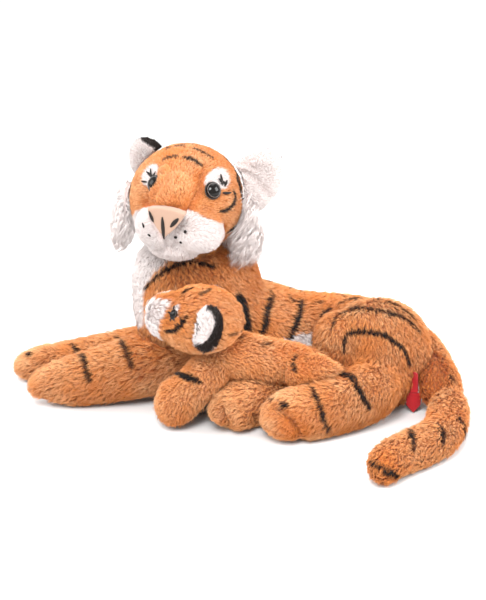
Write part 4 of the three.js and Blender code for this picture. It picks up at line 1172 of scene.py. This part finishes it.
class PlushLook(bpy.types.PropertyGroup):
    """Colours and lights that a user may change."""

    orange_root: colour("Orange at the roots", "Dyed pile where it meets the cloth", (0.30, 0.058, 0.010))
    orange_tip: colour("Orange at the tips", "Dyed pile at its ends", (0.73, 0.305, 0.10))
    # Light orange is also the colour of painted light on the paws
    orange_light: colour("Light orange", "The palest clumps of dyed pile", (0.90, 0.52, 0.26))
    # Deep orange is also the colour of painted shade in creases and in shaded patches of the pile
    orange_deep_and_shade: colour("Deep orange", "Pile that is pressed or lies against its nap", (0.46, 0.105, 0.022))
    orange_warm: colour("Warm orange", "The reddest patches of dyed pile", (0.66, 0.22, 0.05))
    white_root: colour("White at the roots", "White pile where it meets the cloth", (0.73, 0.655, 0.635))
    white_tip: colour("White at the tips", "White pile at its ends", (0.80, 0.735, 0.715))
    stripe: colour("Stripes", "Near-black dyed stripes", (0.012, 0.006, 0.004))
    nose: colour("Nose", "Peach cloth of the noses", (0.34, 0.215, 0.155))
    eye: colour("Eyes", "Moulded plastic of the eyes", (0.003, 0.002, 0.0015))
    rim: colour("Eye rims", "Thin black rims round the eyes", (0.012, 0.008, 0.006))
    line: colour("Eye lines", "Thin pale lines near the edge of the eyes", (0.42, 0.36, 0.34))
    red: colour("Red", "Ribbon and hang label", (0.40, 0.006, 0.012))
    key_power: FloatProperty(
        name="Key light", description="Power of the large light in front", unit="POWER", default=47, min=0,
    )
    fill_power: FloatProperty(
        name="Fill lights", description="Power of each light at the sides", unit="POWER", default=15, min=0,
    )
    sky: FloatProperty(name="Sky", description="Strength of the even light all round", default=1.05, min=0)
    seed: IntProperty(name="Seed", description="Picks one laying of the pile", default=11, min=0)


def dress_all(context, names):
    """Dresses a group of forms. Each has a seed of its own, so that their order doesn't matter."""
    look = context.scene.plush_look
    coat, undercoat = coats(look)
    for name in names:
        dress(name, look.seed + list(FORMS).index(name), coat, undercoat)


# Operators

# Where each light stands, its width, the setting that it follows, and how much of that it takes
LIGHTS = {
    "key": ((-0.3, -1.35, 1.5), 0.75, "key_power", 1),
    "left": ((-1.5, -0.2, 0.9), 1.0, "fill_power", 1),
    "right": ((1.5, -0.4, 0.9), 1.0, "fill_power", 2.3),
    "top": ((0.1, 0.5, 1.7), 1.2, "fill_power", 1),
    "sparkle": ((-0.75, -1.5, 1.1), 0.16, "key_power", 1 / 11),
}
LIT_PLACE = Vector((-0.03, -0.05, 0.1))
FLOOR_HALF = 1.2
RIBBON_TURN = -1.05  # radians from the ribbon's lower end to the seam that holds it
LABEL_HALF, LABEL_BEND = 6.5 * MM, 1.4 * MM


class PLUSH_OT_stage(bpy.types.Operator):
    """Sets the camera, the pale floor and the soft studio light"""

    bl_idname = "plush.stage"
    bl_label = "Stage"

    def execute(self, context):
        look = context.scene.plush_look
        camera = placed("camera", bpy.data.cameras.new("camera"))
        camera.data.sensor_fit = "AUTO"
        camera.data.sensor_width = SENSOR_MM
        camera.data.lens = FOCAL_PX * SENSOR_MM / PHOTO_HIGH
        camera.data.clip_start, camera.data.clip_end = 0.05, 30
        camera.location = CAMERA_AT
        camera.rotation_euler = (CAMERA_AIM - CAMERA_AT).to_track_quat("-Z", "Y").to_euler()
        context.scene.camera = camera
        self.lay_floor()
        for name, (at, size, power, share) in LIGHTS.items():
            lamp = placed(name, bpy.data.lights.new(name, "AREA"))
            lamp.data.size = size
            lamp.data.energy = getattr(look, power) * share
            lamp.location = at
            lamp.rotation_euler = (LIT_PLACE - Vector(at)).to_track_quat("-Z", "Y").to_euler()
        world = bpy.data.worlds.new("sky")
        world.use_nodes = True
        world.node_tree.nodes["Background"].inputs["Color"].default_value = (1, 1, 1, 1)
        world.node_tree.nodes["Background"].inputs["Strength"].default_value = look.sky
        context.scene.world = world
        context.scene.view_settings.view_transform = "Standard"
        return {"FINISHED"}

    def lay_floor(self):
        bm = bmesh.new()
        bmesh.ops.create_grid(bm, x_segments=2, y_segments=2, size=FLOOR_HALF)
        floor = placed("floor", mesh_of("floor", bm))
        material, tree, shader = new_material("floor_paper", 0.9)
        base = mixed(tree, noise(tree, 4), (0.66, 0.66, 0.66), (0.69, 0.69, 0.69))
        tree.links.new(base, shader.inputs["Base Color"])
        floor.data.materials.append(material)


class Dresser:
    """What the operators share that only dress a group of forms."""

    forms = ()

    def execute(self, context):
        dress_all(context, self.forms)
        return {"FINISHED"}


class PLUSH_OT_mother_body(Dresser, bpy.types.Operator):
    """Dresses the mother's trunk with her chest"""

    bl_idname = "plush.mother_body"
    bl_label = "Mother's body"
    forms = ["mother_body"]


class PLUSH_OT_mother_legs(Dresser, bpy.types.Operator):
    """Dresses the mother's four legs"""

    bl_idname = "plush.mother_legs"
    bl_label = "Mother's legs"
    forms = ["mother_under_leg", "mother_near_foreleg", "mother_far_foreleg", "mother_near_hindleg"]


class PLUSH_OT_mother_tail(Dresser, bpy.types.Operator):
    """Dresses the mother's tail, its root and end as one form"""

    bl_idname = "plush.mother_tail"
    bl_label = "Mother's tail"
    forms = ["mother_tail"]


class PLUSH_OT_mother_head(Dresser, bpy.types.Operator):
    """Dresses the mother's head, ears and ruff"""

    bl_idname = "plush.mother_head"
    bl_label = "Mother's head"
    forms = ["mother_head", "mother_near_ear", "mother_far_ear", "mother_near_ruff", "mother_far_ruff"]


class PLUSH_OT_mother_face(bpy.types.Operator):
    """Sets the mother's eyes, nose and sewn strokes"""

    bl_idname = "plush.mother_face"
    bl_label = "Mother's face"

    def execute(self, context):
        look = context.scene.plush_look
        for side in ("left", "right"):
            eye_pieces("mother_eye_" + side, "mother_head", "head", look, 14 * MM, 5 * MM)
        cloth = dyed_cloth("nose_cloth", look.nose, 0.93, 1500, 0.75)
        nose = soft_copy("mother_nose_cloth", "mother_nose", 0.9, 4, cloth, "head")
        SKINS["mother_nose"] = dict(skin=nose, tree=tree_of(nose))
        thread = black_thread("black_thread")
        for name, strokes, forms, slot, lift in (
            ("mother_nose_stitches", NOSE_STITCHES, ["mother_nose", "mother_head"], "nose_cloth", 0.3),
            ("mother_lashes", MOTHER_LASHES, ["mother_head"], "eye_plastic", 2.6),
            ("mother_whisker_dots", WHISKER_DOTS, ["mother_head"], "eye_plastic", 2.4),
        ):
            stroke_piece(name, strokes, forms, thread, "head", lift)
        washers = cloth_material("washer_plastic", (0.72, 0.70, 0.64), (0.66, 0.64, 0.58), 900, 0.45)
        for side in ("left", "right"):
            node = NODES["mother_eye_washer_" + side]
            node.data.materials.clear()
            node.data.materials.append(washers)
        return {"FINISHED"}


class PLUSH_OT_label(bpy.types.Operator):
    """Hangs the bare red label on its ribbon"""

    bl_idname = "plush.label"
    bl_label = "Hang label"

    def execute(self, context):
        red = dyed_cloth("red_cloth", context.scene.plush_look.red, 0.75, 1400, 0.6)
        ribbon = soft_copy("ribbon", "hang_ribbon", 0.35, 3, red, "hindleg_left")
        label = soft_copy("label", "hang_label", 0.4, 3, red, "label")
        self.twist(ribbon)
        self.curl(label)
        return {"FINISHED"}

    def twist(self, ribbon):
        """Turns the ribbon about its length towards the seam that holds it."""
        co, _ = arrays_of(ribbon.data)
        middle = (co.min(0) + co.max(0)) / 2
        angle = RIBBON_TURN * ((co[:, 2] - co[:, 2].min()) / np.ptp(co[:, 2]))
        off = co - middle
        co[:, 0] = middle[0] + off[:, 0] * np.cos(angle) - off[:, 1] * np.sin(angle)
        co[:, 1] = middle[1] + off[:, 0] * np.sin(angle) + off[:, 1] * np.cos(angle)
        move_points(ribbon.data, co)

    def curl(self, label):
        """Bends the label a little across its width, as cloth that was folded in a bag."""
        co, _ = arrays_of(label.data)
        middle = (co.min(0) + co.max(0)) / 2
        co[:, 1] += LABEL_BEND * ((co[:, 0] - middle[0]) / LABEL_HALF) ** 2
        move_points(label.data, co)


class PLUSH_OT_cub_body(Dresser, bpy.types.Operator):
    """Dresses the cub's trunk, legs and tail"""

    bl_idname = "plush.cub_body"
    bl_label = "Cub's body"
    forms = ["cub_body", "cub_near_foreleg", "cub_far_foreleg", "cub_near_hindleg", "cub_far_hindleg", "cub_tail"]


class PLUSH_OT_cub_head(bpy.types.Operator):
    """Dresses the cub's head and ears, and sets its eyes and nose"""

    bl_idname = "plush.cub_head"
    bl_label = "Cub's head"

    def execute(self, context):
        look = context.scene.plush_look
        dress_all(context, ["cub_head", "cub_near_ear", "cub_far_ear"])
        for side in ("left", "right"):
            eye_pieces("cub_eye_" + side, "cub_head", "cub_head", look, 8.4 * MM, 3 * MM, 0.66, (-1.8 * MM, 0, 0))
        cloth = dyed_cloth("cub_nose_cloth", look.nose, 0.93, 1500, 0.75)
        soft_copy("cub_nose_cloth", "cub_nose", 0.6, 3, cloth, "cub_head")
        thread = black_thread("cub_thread")
        stroke_piece("cub_lashes", CUB_LASHES, ["cub_head"], thread, "cub_head", 2.6)
        return {"FINISHED"}


class PLUSH_PT_panel(bpy.types.Panel):
    """Lists the pieces in the 3D view's sidebar"""

    bl_label = "Plush tiger"
    bl_idname = "PLUSH_PT_panel"
    bl_space_type = "VIEW_3D"
    bl_region_type = "UI"
    bl_category = "Plush"

    def draw(self, context):
        for operator in OPERATORS:
            self.layout.operator(operator.bl_idname)
        for name in PlushLook.__annotations__:
            self.layout.prop(context.scene.plush_look, name)


OPERATORS = [
    PLUSH_OT_stage,
    PLUSH_OT_mother_body,
    PLUSH_OT_mother_legs,
    PLUSH_OT_mother_tail,
    PLUSH_OT_mother_head,
    PLUSH_OT_mother_face,
    PLUSH_OT_label,
    PLUSH_OT_cub_body,
    PLUSH_OT_cub_head,
]
CLASSES = [PlushLook, *OPERATORS, PLUSH_PT_panel]


def register():
    for one in CLASSES:
        bpy.utils.register_class(one)
    bpy.types.Scene.plush_look = PointerProperty(type=PlushLook)


def unregister():
    del bpy.types.Scene.plush_look
    for one in reversed(CLASSES):
        bpy.utils.unregister_class(one)


def main():
    register()
    bpy.ops.plush.stage()
    bpy.ops.plush.mother_body()
    bpy.ops.plush.mother_legs()
    bpy.ops.plush.mother_tail()
    bpy.ops.plush.mother_head()
    bpy.ops.plush.mother_face()
    bpy.ops.plush.label()
    bpy.ops.plush.cub_body()
    bpy.ops.plush.cub_head()


if __name__ == "__main__":
    main()
